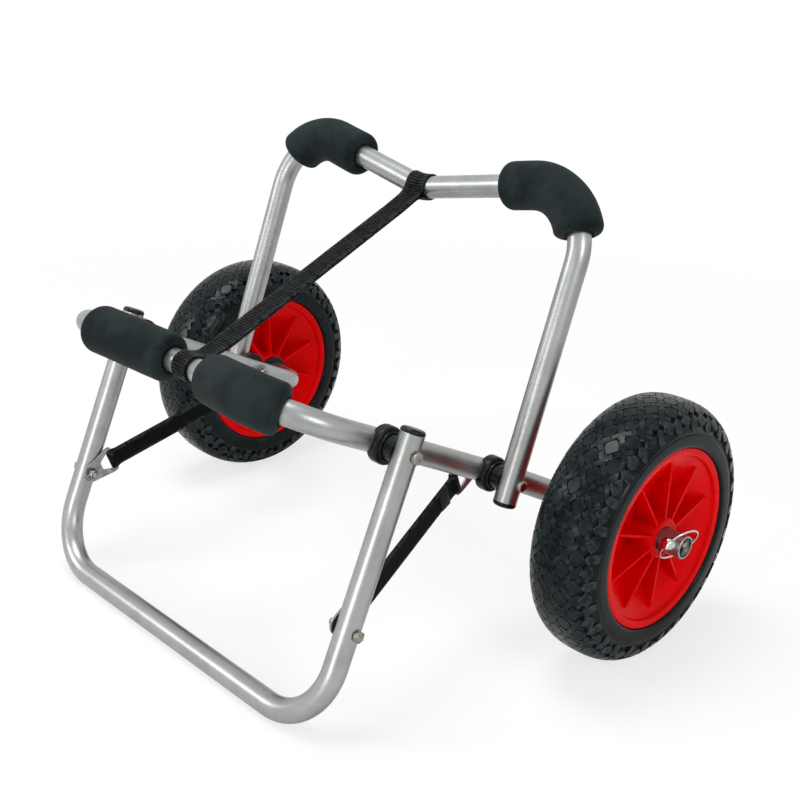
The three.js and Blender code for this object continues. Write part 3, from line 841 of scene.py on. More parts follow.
@dataclass
class CartPlan:
    """Planes, pivots and main sizes of the cart, which its sub-assemblies share."""

    axle: Vector = field(default_factory=lambda: Vector((0, 103.3, 126.517)))
    arch_pivot: Vector = field(default_factory=lambda: Vector((0, 16.436, 170.357)))
    stand_pivot: Vector = field(default_factory=lambda: Vector((0, -119.529, 238.978)))
    frame_slope: float = math.radians(26.78)
    arch_lean: float = math.radians(20.1)
    stand_slope: float = math.radians(66.6)
    arm_x: float = 173.3
    leg_x: float = 206.8
    axle_end: float = 342.6
    axle_bend: float = 75.0
    bar_bend: float = 60.0
    frame_apex: Pair = (327.8, 33.6)
    arch_apex: Pair = (238.7, 38.8)
    arch_tail: float = 19.2
    stand_tail: float = 17.8
    stand_reach: float = 248.82
    bracket_along_leg: float = 155.0
    pin_x: float = 334.0
    pin_tilt: float = math.radians(22)

    def run(self, origin: Vector, turn: float, left: list[Triple],
            low: float | None = None) -> Run:
        """A tube's path from the corners of its left half.

        Args:
            origin: Where the path's plane has its origin.
            turn: The plane's turn about X.
            left: The left half's corners.
            low: Place of a corner on the middle line, where there is one.

        Returns:
            The path.
        """
        middle = [] if low is None else [(0, low, self.bar_bend)]
        right = [(-x, y, radius) for x, y, radius in reversed(left)]
        return Run(left + middle + right,
                   Matrix.Translation(origin) @ Matrix.Rotation(turn, 4, "X"))

    def frame_run(self) -> Run:
        """Path of the main frame's tube, from axle end to axle end.

        Returns:
            The path.
        """
        low, rise = self.frame_apex
        left = [(-self.axle_end, 0, 0), (-self.arm_x, 0, self.axle_bend),
                (-self.arm_x, low + rise, self.bar_bend)]
        return self.run(self.axle, math.pi - self.frame_slope, left, low)

    def arch_run(self) -> Run:
        """Path of the rear arch's tube, from leg end to leg end.

        Returns:
            The path.
        """
        low, rise = self.arch_apex
        left = [(-self.leg_x, -self.arch_tail, 0), (-self.leg_x, low + rise, self.bar_bend)]
        return self.run(self.arch_pivot, math.pi / 2 - self.arch_lean, left, low)

    def stand_run(self) -> Run:
        """Path of the kickstand's tube, from leg end to leg end."""
        left = [(-self.leg_x, -self.stand_tail, 0), (-self.leg_x, self.stand_reach, self.bar_bend)]
        return self.run(self.stand_pivot, math.pi + self.stand_slope, left)

    def apex(self, run: Run) -> Vector:
        """Centre of a tube at the middle of its run."""
        return run.place(run.length() / 2).point

    def arm_direction(self) -> Vector:
        """Direction of the main frame's arms, away from the axle."""
        return Vector((0, -math.cos(self.frame_slope), math.sin(self.frame_slope)))

    def arch_direction(self) -> Vector:
        """Direction of the arch's legs, away from their pivots."""
        return Vector((0, math.sin(self.arch_lean), math.cos(self.arch_lean)))

    def stand_direction(self) -> Vector:
        """Direction of the kickstand's legs, away from their pivots."""
        return Vector((0, -math.cos(self.stand_slope), -math.sin(self.stand_slope)))

    def pin_direction(self) -> Vector:
        """Direction of the lynch pins, from the tip to the head."""
        return Vector((0, -math.cos(self.pin_tilt), math.sin(self.pin_tilt)))

    def pin_point(self, side: Side) -> Vector:
        """Where a lynch pin's line crosses the axle's."""
        return self.axle + Vector((side.value * self.pin_x, 0, 0))

    def bracket_point(self) -> Vector:
        """Bolt centre of the kickstand's strap brackets, in the cart's middle plane."""
        return self.stand_pivot + self.stand_direction() * self.bracket_along_leg


@dataclass
class BentTube:
    """An anodised tube with a wall, its cut ends eased."""

    node: str
    body: str
    run: Run
    radius: float = 11.0
    wall: float = 1.5
    lip: float = 0.35
    sides: int = 40

    def form(self) -> Form:
        """Sweeps the outer skin out and the bore back, as one closed form.

        Returns:
            The form.
        """
        end = self.run.length()
        stations = self.run.stretch(0, end, [0, self.lip])
        bore, cut = self.radius - self.wall, self.radius - self.lip
        rings = [(s, self.radius, self.radius) for s in stations]
        rings[0] = (stations[0], cut, cut)
        rings[-1] = (stations[-1], cut, cut)
        back = [(s, bore, bore) for s in reversed(stations)]
        return sweep(circle(self.sides), rings + back)

    def build(self, *cuts: Form) -> bpy.types.Object:
        """Builds and dresses the tube.

        Args:
            *cuts: Forms that are drilled out of it.

        Returns:
            The piece.
        """
        form = self.form()
        if cuts:
            form = carve(form, *cuts)
        return finish_piece(form, self.node, "skin", Finishes.TUBE, self.body)


@dataclass
class FoamSleeve:
    """A closed-cell foam sleeve, pushed over a bend and a little uneven from its fit."""

    node: str
    body: str
    run: Run
    start: float
    end: float
    radius: float = 22.9
    bore: float = 11.4
    rounding: float = 7.2
    mouth: float = 2.2
    mouth_depths: Pair = (0.9, 3.0)
    lip: float = 1.2
    chamfer: float = 0.25
    edge_steps: int = 9
    swell: float = 0.4
    waves: Pair = (0.028, 0.11)
    fine_share: float = 0.3
    shrink: float = 0.35
    sides: int = 56

    def profile(self) -> Profile:
        """Radius against distance from an end, over the rounded edge.

        Returns:
            Distance and radius pairs.
        """
        out = [(0.0, self.bore + self.mouth + self.lip),
               (self.chamfer, self.radius - self.rounding)]
        for k in range(1, self.edge_steps + 1):
            turn = math.pi / 2 * k / self.edge_steps
            out.append((self.rounding * (1 - math.cos(turn)) + self.chamfer * math.cos(turn),
                        self.radius - self.rounding * (1 - math.sin(turn))))
        return out

    def build(self) -> bpy.types.Object:
        """Sweeps the sleeve, works it uneven and dresses it.

        Returns:
            The piece.
        """
        profile = self.profile()
        marks = [d for d, _ in profile]
        stations = self.run.stretch(self.start, self.end, marks)
        rings = []
        for station in stations:
            near = min(station.along - self.start, self.end - station.along)
            radius = next((r for d, r in profile if near <= d + 1e-6), self.radius)
            rings.append((station, radius, radius))
        inside = self.run.stretch(self.start, self.end, list(self.mouth_depths))
        for k, station in enumerate(reversed(inside)):
            radius = self.bore + (self.mouth if k in (0, len(inside) - 1) else 0)
            rings.append((station, radius, radius))
        form = sweep(circle(self.sides), rings)
        bmesh.ops.recalc_face_normals(form, faces=form.faces)
        line = [s.point for s in self.run.stretch(self.start, self.end, [0, 1])]
        outside = self.bore + self.mouth + 2
        for vert in [v for v in form.verts if min((v.co - p).length for p in line) > outside]:
            broad, fine = (noise.noise(vert.co * scale) for scale in self.waves)
            vert.co += vert.normal * self.swell * (broad + self.fine_share * fine - self.shrink)
        piece = finish_piece(form, self.node, "sleeve", Finishes.FOAM, self.body)
        return piece


@dataclass
class Tubes:
    """The three bent tubes, their foam and their end plugs."""

    plan: CartPlan
    pin_hole: float = 3.3
    hole_reach: float = 20.0
    front_starts: Pair = (16.0, 54.0)
    front_length: float = 98.0
    arch_starts: Pair = (95.0, 110.0)
    arch_length: float = 108.0

    def build(self) -> None:
        """Builds the tubes, the sleeves at their uneven places, and the plugs."""
        plan = self.plan
        frame, arch, stand = plan.frame_run(), plan.arch_run(), plan.stand_run()
        reach = plan.pin_direction() * self.hole_reach
        holes = [rod(self.pin_hole, plan.pin_point(side) - reach, plan.pin_point(side) + reach)
                 for side in Side]
        BentTube("main_frame_tube", "main_frame", frame).build(*holes)
        BentTube("arch_tube", "rear_arch", arch).build()
        BentTube("kickstand_tube", "kickstand", stand).build()
        sleeves = (("front_foam_", "main_frame", frame, self.front_starts, self.front_length),
                   ("arch_foam_", "rear_arch", arch, self.arch_starts, self.arch_length))
        for index, side in enumerate(Side):
            for name, body, run, starts, length in sleeves:
                middle, near = run.length() / 2, starts[index]
                ends = sorted((middle + side.value * near, middle + side.value * (near + length)))
                FoamSleeve(name + side.word, body, run, *ends).build()
            self.plug("arch_plug_", "rear_arch", plan.arch_pivot, plan.arch_direction(),
                      plan.arch_tail, side)
            self.plug("kickstand_plug_", "kickstand", plan.stand_pivot, plan.stand_direction(),
                      plan.stand_tail, side)

    def plug(self, name: str, body: str, pivot: Vector, leg: Vector, tail: float,
             side: Side) -> bpy.types.Object:
        """Builds one end plug with its rounded cap and ribbed spigot.

        Args:
            name: The node's name without its side.
            body: The body that it rides on.
            pivot: The leg's pivot in the cart's middle plane.
            leg: Direction of the leg, away from the pivot.
            tail: How far the leg runs past its pivot.
            side: The side of the cart.

        Returns:
            The piece.
        """
        profile = [(-11, 0), (-11, 7.9), (-10.2, 8.7), (-7, 8.7), (-6.4, 8.2), (-5.6, 8.2),
                   (-5, 8.8), (0.3, 8.8), (0.3, 10.8), (0.5, 11.0), *dome(4.3, 11.0, 3.2, 7),
                   (4.6, 0)]
        place = pivot - leg * tail + Vector((side.value * self.plan.leg_x, 0, 0))
        form = placed(lathe(profile, 40), pointing(place, -leg))
        return finish_piece(form, name + side.word, "cap", Finishes.BLACK, body)


@dataclass
class Studio:
    """Plain pale room, soft lamps, and the camera at the photograph's angle."""

    eye: Vector = field(default_factory=lambda: Vector((0.8435, -0.7535, 0.6473)))
    yaw: float = -0.781
    pitch: float = -0.385
    roll: float = 0.032
    lens: float = 54.4
    shift: Pair = (-0.0183, 0.0047)
    aim: Vector = field(default_factory=lambda: Vector((0, 0, 0.2)))
    surround: Pair = (0.45, 1.0)
    floor_size: float = 6.0
    fade: Pair = (0.5, 1.5)
    floor_white: Pair = (0.72, 1.0)
    lamps: tuple[tuple[str, Triple, float, float], ...] = (
        ("over", (-0.3, -0.2, 2.4), 1.0, 30), ("front_left", (-1.6, -1.9, 1.5), 0.8, 17),
        ("front_low", (0.35, -2.2, 0.5), 0.7, 11), ("front_right", (2.2, -0.4, 1.4), 0.7, 13))

    def camera(self) -> None:
        """Places the camera."""
        data = bpy.data.cameras.new("photo_view")
        data.lens, data.sensor_width = self.lens, 36.0
        data.shift_x, data.shift_y = self.shift
        data.clip_start = 0.01
        camera = new_object("photo_view", data)
        ahead = Vector((math.sin(self.yaw) * math.cos(self.pitch),
                        math.cos(self.yaw) * math.cos(self.pitch), math.sin(self.pitch)))
        right = Vector((math.cos(self.yaw), -math.sin(self.yaw), 0))
        up = right.cross(ahead)
        level = right * math.cos(self.roll) + up * math.sin(self.roll)
        upright = up * math.cos(self.roll) - right * math.sin(self.roll)
        camera.matrix_world = Matrix.Translation(self.eye) @ axes(level, upright, -ahead)
        bpy.context.scene.camera = camera

    def lamp(self, name: str, place: Triple, size: float, watts: float) -> None:
        """Adds a square soft lamp that faces the cart.

        Args:
            name: The lamp's name.
            place: Where it hangs, in metres.
            size: Length of its sides, in metres.
            watts: Its power.
        """
        data = bpy.data.lights.new(name, "AREA")
        data.shape, data.size, data.energy = "SQUARE", size, watts
        away = Vector(place) - self.aim
        turn = away.to_track_quat("Z", "Y").to_matrix().to_4x4()
        new_object(name, data).matrix_world = Matrix.Translation(place) @ turn

    def world(self) -> None:
        """A white surround for what the camera, gloss and glass see, softer as a light."""
        world = bpy.data.worlds.new("pale_room")
        world.use_nodes = True
        bpy.context.scene.world = world
        nodes = Nodes(world.node_tree)
        back = world.node_tree.nodes["Background"]
        back.inputs["Color"].default_value = (1, 1, 1, 1)
        path = nodes.add("ShaderNodeLightPath")
        seen = nodes.math("MAXIMUM", path.outputs["Is Camera Ray"],
                          path.outputs["Is Glossy Ray"])
        seen = nodes.math("MAXIMUM", seen, path.outputs["Is Transmission Ray"])
        nodes.link(nodes.ramp(seen, (0.0, 1.0), self.surround), back.inputs["Strength"])

    def floor(self) -> None:
        """A pale floor under the wheels, white where nothing shades it."""
        mesh = mesh_from(square(self.floor_size), "floor")
        floor = new_object("floor", mesh)
        material, nodes, shader = new_material("pale_floor")
        place = nodes.add("ShaderNodeTexCoord").outputs["Object"]
        tone = nodes.mix(nodes.cloud(place, 3.0), (0.95, 0.95, 0.95, 1), (0.97, 0.97, 0.97, 1))
        nodes.link(tone, shader.inputs["Base Color"])
        shader.inputs["Roughness"].default_value = 0.9
        shader.inputs["Specular IOR Level"].default_value = 0.0
        distance = nodes.add("ShaderNodeVectorMath", {"operation": "LENGTH"}, i0=place)
        far = nodes.ramp(distance.outputs["Value"], self.fade, self.floor_white)
        seen = nodes.add("ShaderNodeLightPath").outputs["Is Camera Ray"]
        white = nodes.add("ShaderNodeEmission", Color=(1, 1, 1, 1), Strength=1.0)
        both = nodes.add("ShaderNodeMixShader", i0=nodes.math("MULTIPLY", seen, far),
                         i1=shader.outputs["BSDF"], i2=white.outputs["Emission"])
        ends = material.node_tree.nodes["Material Output"]
        nodes.link(both.outputs["Shader"], ends.inputs["Surface"])
        mesh.materials.append(material)

    def build(self) -> None:
        """Sets up the room, the lamps and the camera."""
        bpy.context.scene.view_settings.view_transform = "Standard"
        self.camera()
        self.world()
        self.floor()
        for lamp in self.lamps:
            self.lamp(*lamp)


# Pivots, brackets and webbing


ACROSS_FLATS = 10.0
THREADS = 9


def hexagon(flats: float, start: float, end: float, chamfer: float = 0.9) -> Form:
    """A hexagonal bar along X, its corners turned down at the outer face.

    Args:
        flats: Width across flats.
        start: Inner face along X.
        end: Outer face along X.
        chamfer: How far the corners are turned down.

    Returns:
        The form.
    """
    bm = bmesh.new()
    reach = flats / 2 / math.cos(math.pi / 6)
    bmesh.ops.create_circle(bm, cap_ends=True, segments=6, radius=reach)
    moved(turned(bm, math.pi / 2, "Y"), (start, 0, 0))
    step = (end - start) * 0.72
    made = bmesh.ops.extrude_face_region(bm, geom=bm.faces[:])["geom"]
    bmesh.ops.translate(bm, vec=(step, 0, 0), verts=verts_in(made))
    face = [g for g in made if isinstance(g, bmesh.types.BMFace)]
    top = verts_in(bmesh.ops.extrude_face_region(bm, geom=face)["geom"])
    bmesh.ops.delete(bm, geom=face, context="FACES_ONLY")
    bmesh.ops.translate(bm, vec=(end - start - step, 0, 0), verts=top)
    share = (reach - chamfer) / reach
    bmesh.ops.scale(bm, vec=(1, share, share), verts=top)
    return bm


def hex_bolt(centre: Vector, head: float, tip: float) -> Form:
    """A hexagonal bolt along X with a washer face and a threaded tip.

    Args:
        centre: The bolt's line in the cart's middle plane.
        head: Where the head sits along X.
        tip: End of the thread along X.

    Returns:
        The form.
    """
    point, shank, root, flange, flange_depth = 2.2, 2.95, 2.45, 4.95, 0.5
    profile = [(tip, 0), (tip, point)]
    for k in range(THREADS):
        profile += [(tip + 0.5 + k, shank), (tip + 1.0 + k, root)]
    profile += [(tip + THREADS + 1, shank), (head, shank), (head, flange),
                (head + flange_depth, flange), (head + flange_depth, 0)]
    top = turned(hexagon(ACROSS_FLATS, head + 0.35, head + 4.2), math.radians(17), "X")
    return joined(lathe(profile, 20, (centre.y, centre.z)), moved(top, centre))


def lock_nut(centre: Vector, face: float) -> Form:
    """A lock nut with its rounded collar.

    Args:
        centre: The nut's line in the cart's middle plane.
        face: The face that bears on the arm, along X.

    Returns:
        The form.
    """
    body = hexagon(ACROSS_FLATS, 0, 4.0, 0.7)
    bmesh.ops.scale(body, vec=(-1, 1, 1), verts=body.verts)
    collar = lathe([(face - 3.9, 3.3), (face - 3.9, 4.5), (face - 4.6, 4.4), (face - 5.15, 3.9),
                    (face - 5.2, 3.3)], 24, closed=True)
    return moved(joined(moved(body, (face, 0, 0)), collar), centre)


@dataclass
class Fastening:
    """A bolt with its lock nut, made for the right side."""

    name: str
    body: str
    centre: Vector
    head: float
    nut_face: float
    thread: float = 7.6
    rounding: float = 0.18

    def build(self, side: Side) -> None:
        """Builds and dresses the bolt and the nut.

        Args:
            side: The side of the cart.
        """
        tip = self.nut_face - self.thread
        for label, form in (("bolt", hex_bolt(self.centre, self.head, tip)),
                            ("nut", lock_nut(self.centre, self.nut_face))):
            finish_sided(form, side, f"{self.name}_{label}", "piece", Finishes.STEEL, self.body,
                         self.rounding)


@dataclass
class Pivot:
    """One pivot: arm block, leg block, bolt and lock nut, made for the right side."""

    plan: CartPlan
    name: str
    leg_body: str
    centre: Vector
    leg: Vector
    nut_face: float
    seam: float = 190.28
    sleeve: float = 11.3
    sleeve_reach: float = 40.0
    rounding: float = 0.5

    def block(self, profile: Profile, tube_x: float, along: Vector) -> Form:
        """A round block, hollowed where it hugs a tube.

        Args:
            profile: Place along X and radius, from the tube outwards.
            tube_x: Where the tube's centre runs.
            along: The tube's direction.

        Returns:
            The form.
        """
        form = lathe(profile, 48, (self.centre.y, self.centre.z))
        middle = self.centre + Vector((tube_x, 0, 0))
        reach = along * self.sleeve_reach
        return carve(form, rod(self.sleeve, middle - reach, middle + reach, 48))

    def arm_block(self) -> Form:
        """The block against the arm, with a raised ring where the leg block meets it.

        Returns:
            The form.
        """
        seam = self.seam
        profile = [(177.48, 0), (177.48, 16.4), (178.1, 17), (185.6, 17), (186.6, 16.8),
                   (187.5, 16.1), (188.0, 15.2), (188.3, 13.4), (189.9, 13.2), (seam, 12.7),
                   (seam, 0)]
        return self.block(profile, self.plan.arm_x, self.plan.arm_direction())

    def leg_block(self) -> Form:
        """The block against the leg.

        Returns:
            The form.
        """
        start = self.seam + 0.3
        profile = [(start, 0), (start, 11.1), (start + 0.4, 11.5), (199.7, 11.5), (200.2, 11.0),
                   (200.2, 0)]
        return self.block(profile, self.plan.leg_x, self.leg)

    def build(self, side: Side) -> None:
        """Builds and dresses the pivot's four pieces on one side.

        Args:
            side: The side of the cart.
        """
        for label, form, body in (("arm_saddle", self.arm_block(), "main_frame"),
                                  ("leg_saddle", self.leg_block(), self.leg_body)):
            finish_sided(form, side, f"{self.name}_{label}", "piece", Finishes.BLACK, body,
                         self.rounding)
        Fastening(self.name, "main_frame", self.centre, self.plan.leg_x + self.sleeve,
                  self.nut_face).build(side)


@dataclass
class StrapBracket:
    """A pressed plate: bolted at its round end, with a window and a bar for the webbing."""

    bolt_radius: float = 8.5
    bar: float = 27.0
    bar_width: float = 4.0
    half_width: float = 15.0
    thickness: float = 2.0
    rounding: float = 0.3

    def outline(self, corners: Profile, start: float, depth: float) -> Form:
        """A form with the given corners along and across the bracket, thick along X."""
        return prism([(start, along, across) for along, across in corners], (depth, 0, 0))

    def rounded(self, bm: Form, limits: Pair, radius: float, steps: int) -> None:
        """Rounds the plate's upright corners that lie between two places along it.

        Args:
            bm: The form.
            limits: The places along it.
            radius: Radius of the rounding.
            steps: Number of steps in it.
        """
        upright = [e for e in bm.edges if abs(e.verts[0].co.y - e.verts[1].co.y) < 1e-6
                   and abs(e.verts[0].co.z - e.verts[1].co.z) < 1e-6
                   and limits[0] < e.verts[0].co.y < limits[1]]
        eased(bm, upright, radius, steps)

    def form(self, start: float) -> Form:
        """The plate with its window, bolt at the origin and the bar towards +Y.

        Args:
            start: Inner face along X.

        Returns:
            The form.
        """
        end, half, near = self.bar + self.bar_width / 2, self.half_width, self.bolt_radius
        plate = self.outline([(-near, -near), (end - 6, -half), (end, -half), (end, half),
                              (end - 6, half), (-near, near)], start, self.thickness)
        self.rounded(plate, (-near - 1, 0), near * 0.93, 8)
        self.rounded(plate, (end - 1, end + 1), 2.2, 4)
        window = self.outline([(13, -4.8), (25, -11.4), (25, 11.4), (13, 4.8)], start - 2,
                              self.thickness + 4)
        self.rounded(window, (24, 26), 1.2, 3)
        self.rounded(window, (12, 14), 2.0, 3)
        return carve(plate, window)

    def build(self, label: str, body: str, centre: Vector, turn: float, start: float,
              side: Side) -> None:
        """Builds and dresses one bracket.

        Args:
            label: Its node's name without the side.
            body: The body that it rides on.
            centre: Its bolt's centre in the cart's middle plane.
            turn: Direction of its bar, as a turn about X from +Y.
            start: Its inner face along X, on the right side.
            side: The side of the cart.
        """
        form = moved(turned(self.form(start), turn, "X"), centre)
        finish_sided(form, side, label, "plate", Finishes.PLATE, body, self.rounding)


@dataclass
class LoopedBand:
    """A band of webbing that runs round two bars and lies doubled between them."""

    start: Vector
    end: Vector
    across: Vector
    radius: float
    half_gap: float
    fillet: float
    width: float
    thickness: float
    pitch: float
    rib: float
    arc_step: float = 0.7
    rib_ease: float = 0.25

    def outline(self) -> list[Vector]:
        """The loop's line in its own plane, a closed round of points.

        Returns:
            The points: along from the first bar's centre, and to the side of the middle line.
        """
        side = self.half_gap + self.fillet
        foot = math.sqrt((self.radius + self.fillet) ** 2 - side ** 2)
        lean = math.atan2(side, foot)
        length = (self.end - self.start).length
        points = []

        def arc(x: float, y: float, radius: float, first: float, last: float) -> None:
            """Adds an arc of fine steps to the points."""
            count = max(6, round(abs(last - first) * radius / self.arc_step))
            for k in range(count + 1):
                turn = first + (last - first) * k / count
                points.append(Vector((x + radius * math.cos(turn), y + radius * math.sin(turn))))

        arc(0, 0, self.radius, lean, 2 * math.pi - lean)
        arc(foot, -side, self.fillet, math.pi - lean, math.pi / 2)
        arc(length - foot, -side, self.fillet, math.pi / 2, lean)
        arc(length, 0, self.radius, lean - math.pi, math.pi - lean)
        arc(length - foot, side, self.fillet, -lean, -math.pi / 2)
        arc(foot, side, self.fillet, -math.pi / 2, lean - math.pi)
        return points

    def stations(self) -> list[Station]:
        """Even stations round the loop, four to each rib.

        Returns:
            The stations.
        """
        points = self.outline()
        ring = points + points[:1]
        spans = [(b - a).length for a, b in zip(ring, ring[1:])]
        total = sum(spans)
        count = 4 * round(total / self.pitch)
        run = (self.end - self.start).normalized()
        side = self.across.cross(run)
        out, index, travelled = [], 0, 0.0
        for k in range(count):
            target = total * k / count
            while travelled + spans[index] < target:
                travelled += spans[index]
                index += 1
            a, b = ring[index], ring[index + 1]
            flat = a.lerp(b, (target - travelled) / spans[index] if spans[index] else 0)
            out.append((target, self.start + run * flat.x + side * flat.y))
        made = []
        for k, (along, point) in enumerate(out):
            ahead, behind = out[(k + 1) % count][1], out[k - 1][1]
            made.append(Station(along, point, (ahead - behind).normalized(), self.across))
        return made

    def section(self) -> Profile:
        """The band's section: flat, with rounded selvedges.

        Returns:
            Its corners, for a half thickness of one.
        """
        half = self.width / 2
        shares = (0.955, 0.72, 0.48, 0.24, 0.0, -0.24, -0.48, -0.72, -0.955)
        top = [(half * share, 1.0) for share in shares]
        rim = [(-half, 0.45), (-half, -0.45)]
        return top + rim + [(-x, -y) for x, y in top] + [(-x, -y) for x, y in rim]

    def form(self) -> Form:
        """Sweeps the band with its cross ribs.

        Returns:
            The form.
        """
        half = self.thickness / 2
        heights = (half - self.rib, half, half + self.rib * self.rib_ease, half)
        rings = [(s, 1.0, heights[k % 4]) for k, s in enumerate(self.stations())]
        return sweep(self.section(), rings)


@dataclass
class Webbing:
    """The cradle strap and the two limit straps."""

    plan: CartPlan
    strap_turn: float = math.radians(20.444)
    leg_bar_x: float = 194.5
    arm_bar_x: float = 161.0
    sideways: float = 9.5
    hold: float = 44.0
    release: float = 28.0
    tail_size: Triple = (20.0, 14.0, 1.2)
    tail_askew: float = math.radians(7)
    tail_down: float = 22.0
    tail_out: float = 1.9

    def cradle(self) -> bpy.types.Object:
        """The cradle strap: ribbed webbing round both bars, shaped to their bends.

        Returns:
            The piece.
        """
        plan = self.plan
        front, rear = plan.apex(plan.frame_run()), plan.apex(plan.arch_run())
        form = LoopedBand(front, rear, Vector((1, 0, 0)), radius=12.25, half_gap=0.93, fillet=20,
                          width=25, thickness=1.75, pitch=3.0, rib=0.5).form()
        run = rear - front
        for vert in form.verts:
            share = (vert.co - front).dot(run) / run.length
            vert.co.x += self.sideways * (1 - min(1.0, max(0.0, share / run.length)))
            bend = plan.bar_bend - math.sqrt(plan.bar_bend ** 2 - vert.co.x ** 2)
            for distance, lean in ((share, plan.arm_direction()),
                                   (run.length - share, plan.arch_direction())):
                hold = min(1.0, max(0.0, (self.hold - distance) / self.release))
                vert.co += lean * bend * hold * hold * (3 - 2 * hold)
        piece = finish_piece(form, "cradle_strap", "band", Finishes.WEBBING)
        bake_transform(piece)
        return piece

    def tail(self, upper: Vector, lower: Vector, across: Vector) -> Form:
        """The cut end of a limit strap, sewn over its upper eye a little askew.

        Args:
            upper: Middle of the upper bracket's bar.
            lower: Middle of the lower bracket's bar.
            across: Direction across the band.

        Returns:
            The form.
        """
        down = (lower - upper).normalized()
        out = down.cross(across).normalized()
        out = out if out.z > 0 else -out
        bm = bmesh.new()
        bmesh.ops.create_cube(bm, size=1.0)
        bmesh.ops.scale(bm, vec=self.tail_size, verts=bm.verts)
        turned(eased(bm, bm.edges[:], offset=0.4, segments=2), self.tail_askew, "Z")
        place = Matrix.Translation(upper + down * self.tail_down + out * self.tail_out)
        return placed(bm, place @ axes(out.cross(down), down, out))

    def limit(self, side: Side) -> bpy.types.Object:
        """One limit strap between its two bracket bars.

        Args:
            side: The side of the cart.

        Returns:
            The piece.
        """
        plan = self.plan
        ahead = Vector((0, math.cos(self.strap_turn), math.sin(self.strap_turn)))
        lower = plan.bracket_point() + ahead * StrapBracket.bar + Vector((self.leg_bar_x, 0, 0))
        upper = plan.arch_pivot - ahead * StrapBracket.bar + Vector((self.arm_bar_x, 0, 0))
        across = Vector((1, 0, 0)).cross(upper - lower).normalized()
        across = (across - ahead * across.dot(ahead)).normalized()
        band = LoopedBand(lower, upper, across, radius=3.65, half_gap=0.78, fillet=9,
                          width=self.tail_size[0], thickness=1.4, pitch=2.4, rib=0.1)
        form = joined(band.form(), self.tail(upper, lower, across))
        piece = finish_sided(form, side, "limit_strap", "band", Finishes.WEBBING)
        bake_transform(piece)
        return piece

    def build(self) -> None:
        """Builds the three straps."""
        self.cradle()
        for side in Side:
            self.limit(side)


@dataclass
class FoldingGear:
    """Every pivot and strap bracket of the two folding legs."""

    plan: CartPlan
    arch_nut: float = 159.7
    stand_nut: float = 162.0
    bracket_head: float = 218.1
    bracket_nut: float = 193.2

    def build(self) -> None:
        """Builds the pivots, the brackets and the brackets' own bolts."""
        plan = self.plan
        webbing = Webbing(plan)
        bracket, turn = StrapBracket(), webbing.strap_turn
        for side in Side:
            Pivot(plan, "arch", "rear_arch", plan.arch_pivot, plan.arch_direction(),
                  self.arch_nut).build(side)
            Pivot(plan, "kickstand", "kickstand", plan.stand_pivot, plan.stand_direction(),
                  self.stand_nut).build(side)
            bracket.build("arm_bracket", "main_frame", plan.arch_pivot, math.pi + turn,
                          webbing.arm_bar_x - bracket.thickness / 2, side)
            bracket.build("leg_bracket", "kickstand", plan.bracket_point(), turn,
                          webbing.leg_bar_x - bracket.thickness / 2, side)
            Fastening("leg_bracket", "kickstand", plan.bracket_point(), self.bracket_head,
                      self.bracket_nut).build(side)
        webbing.build()


# Wheels and their retainers


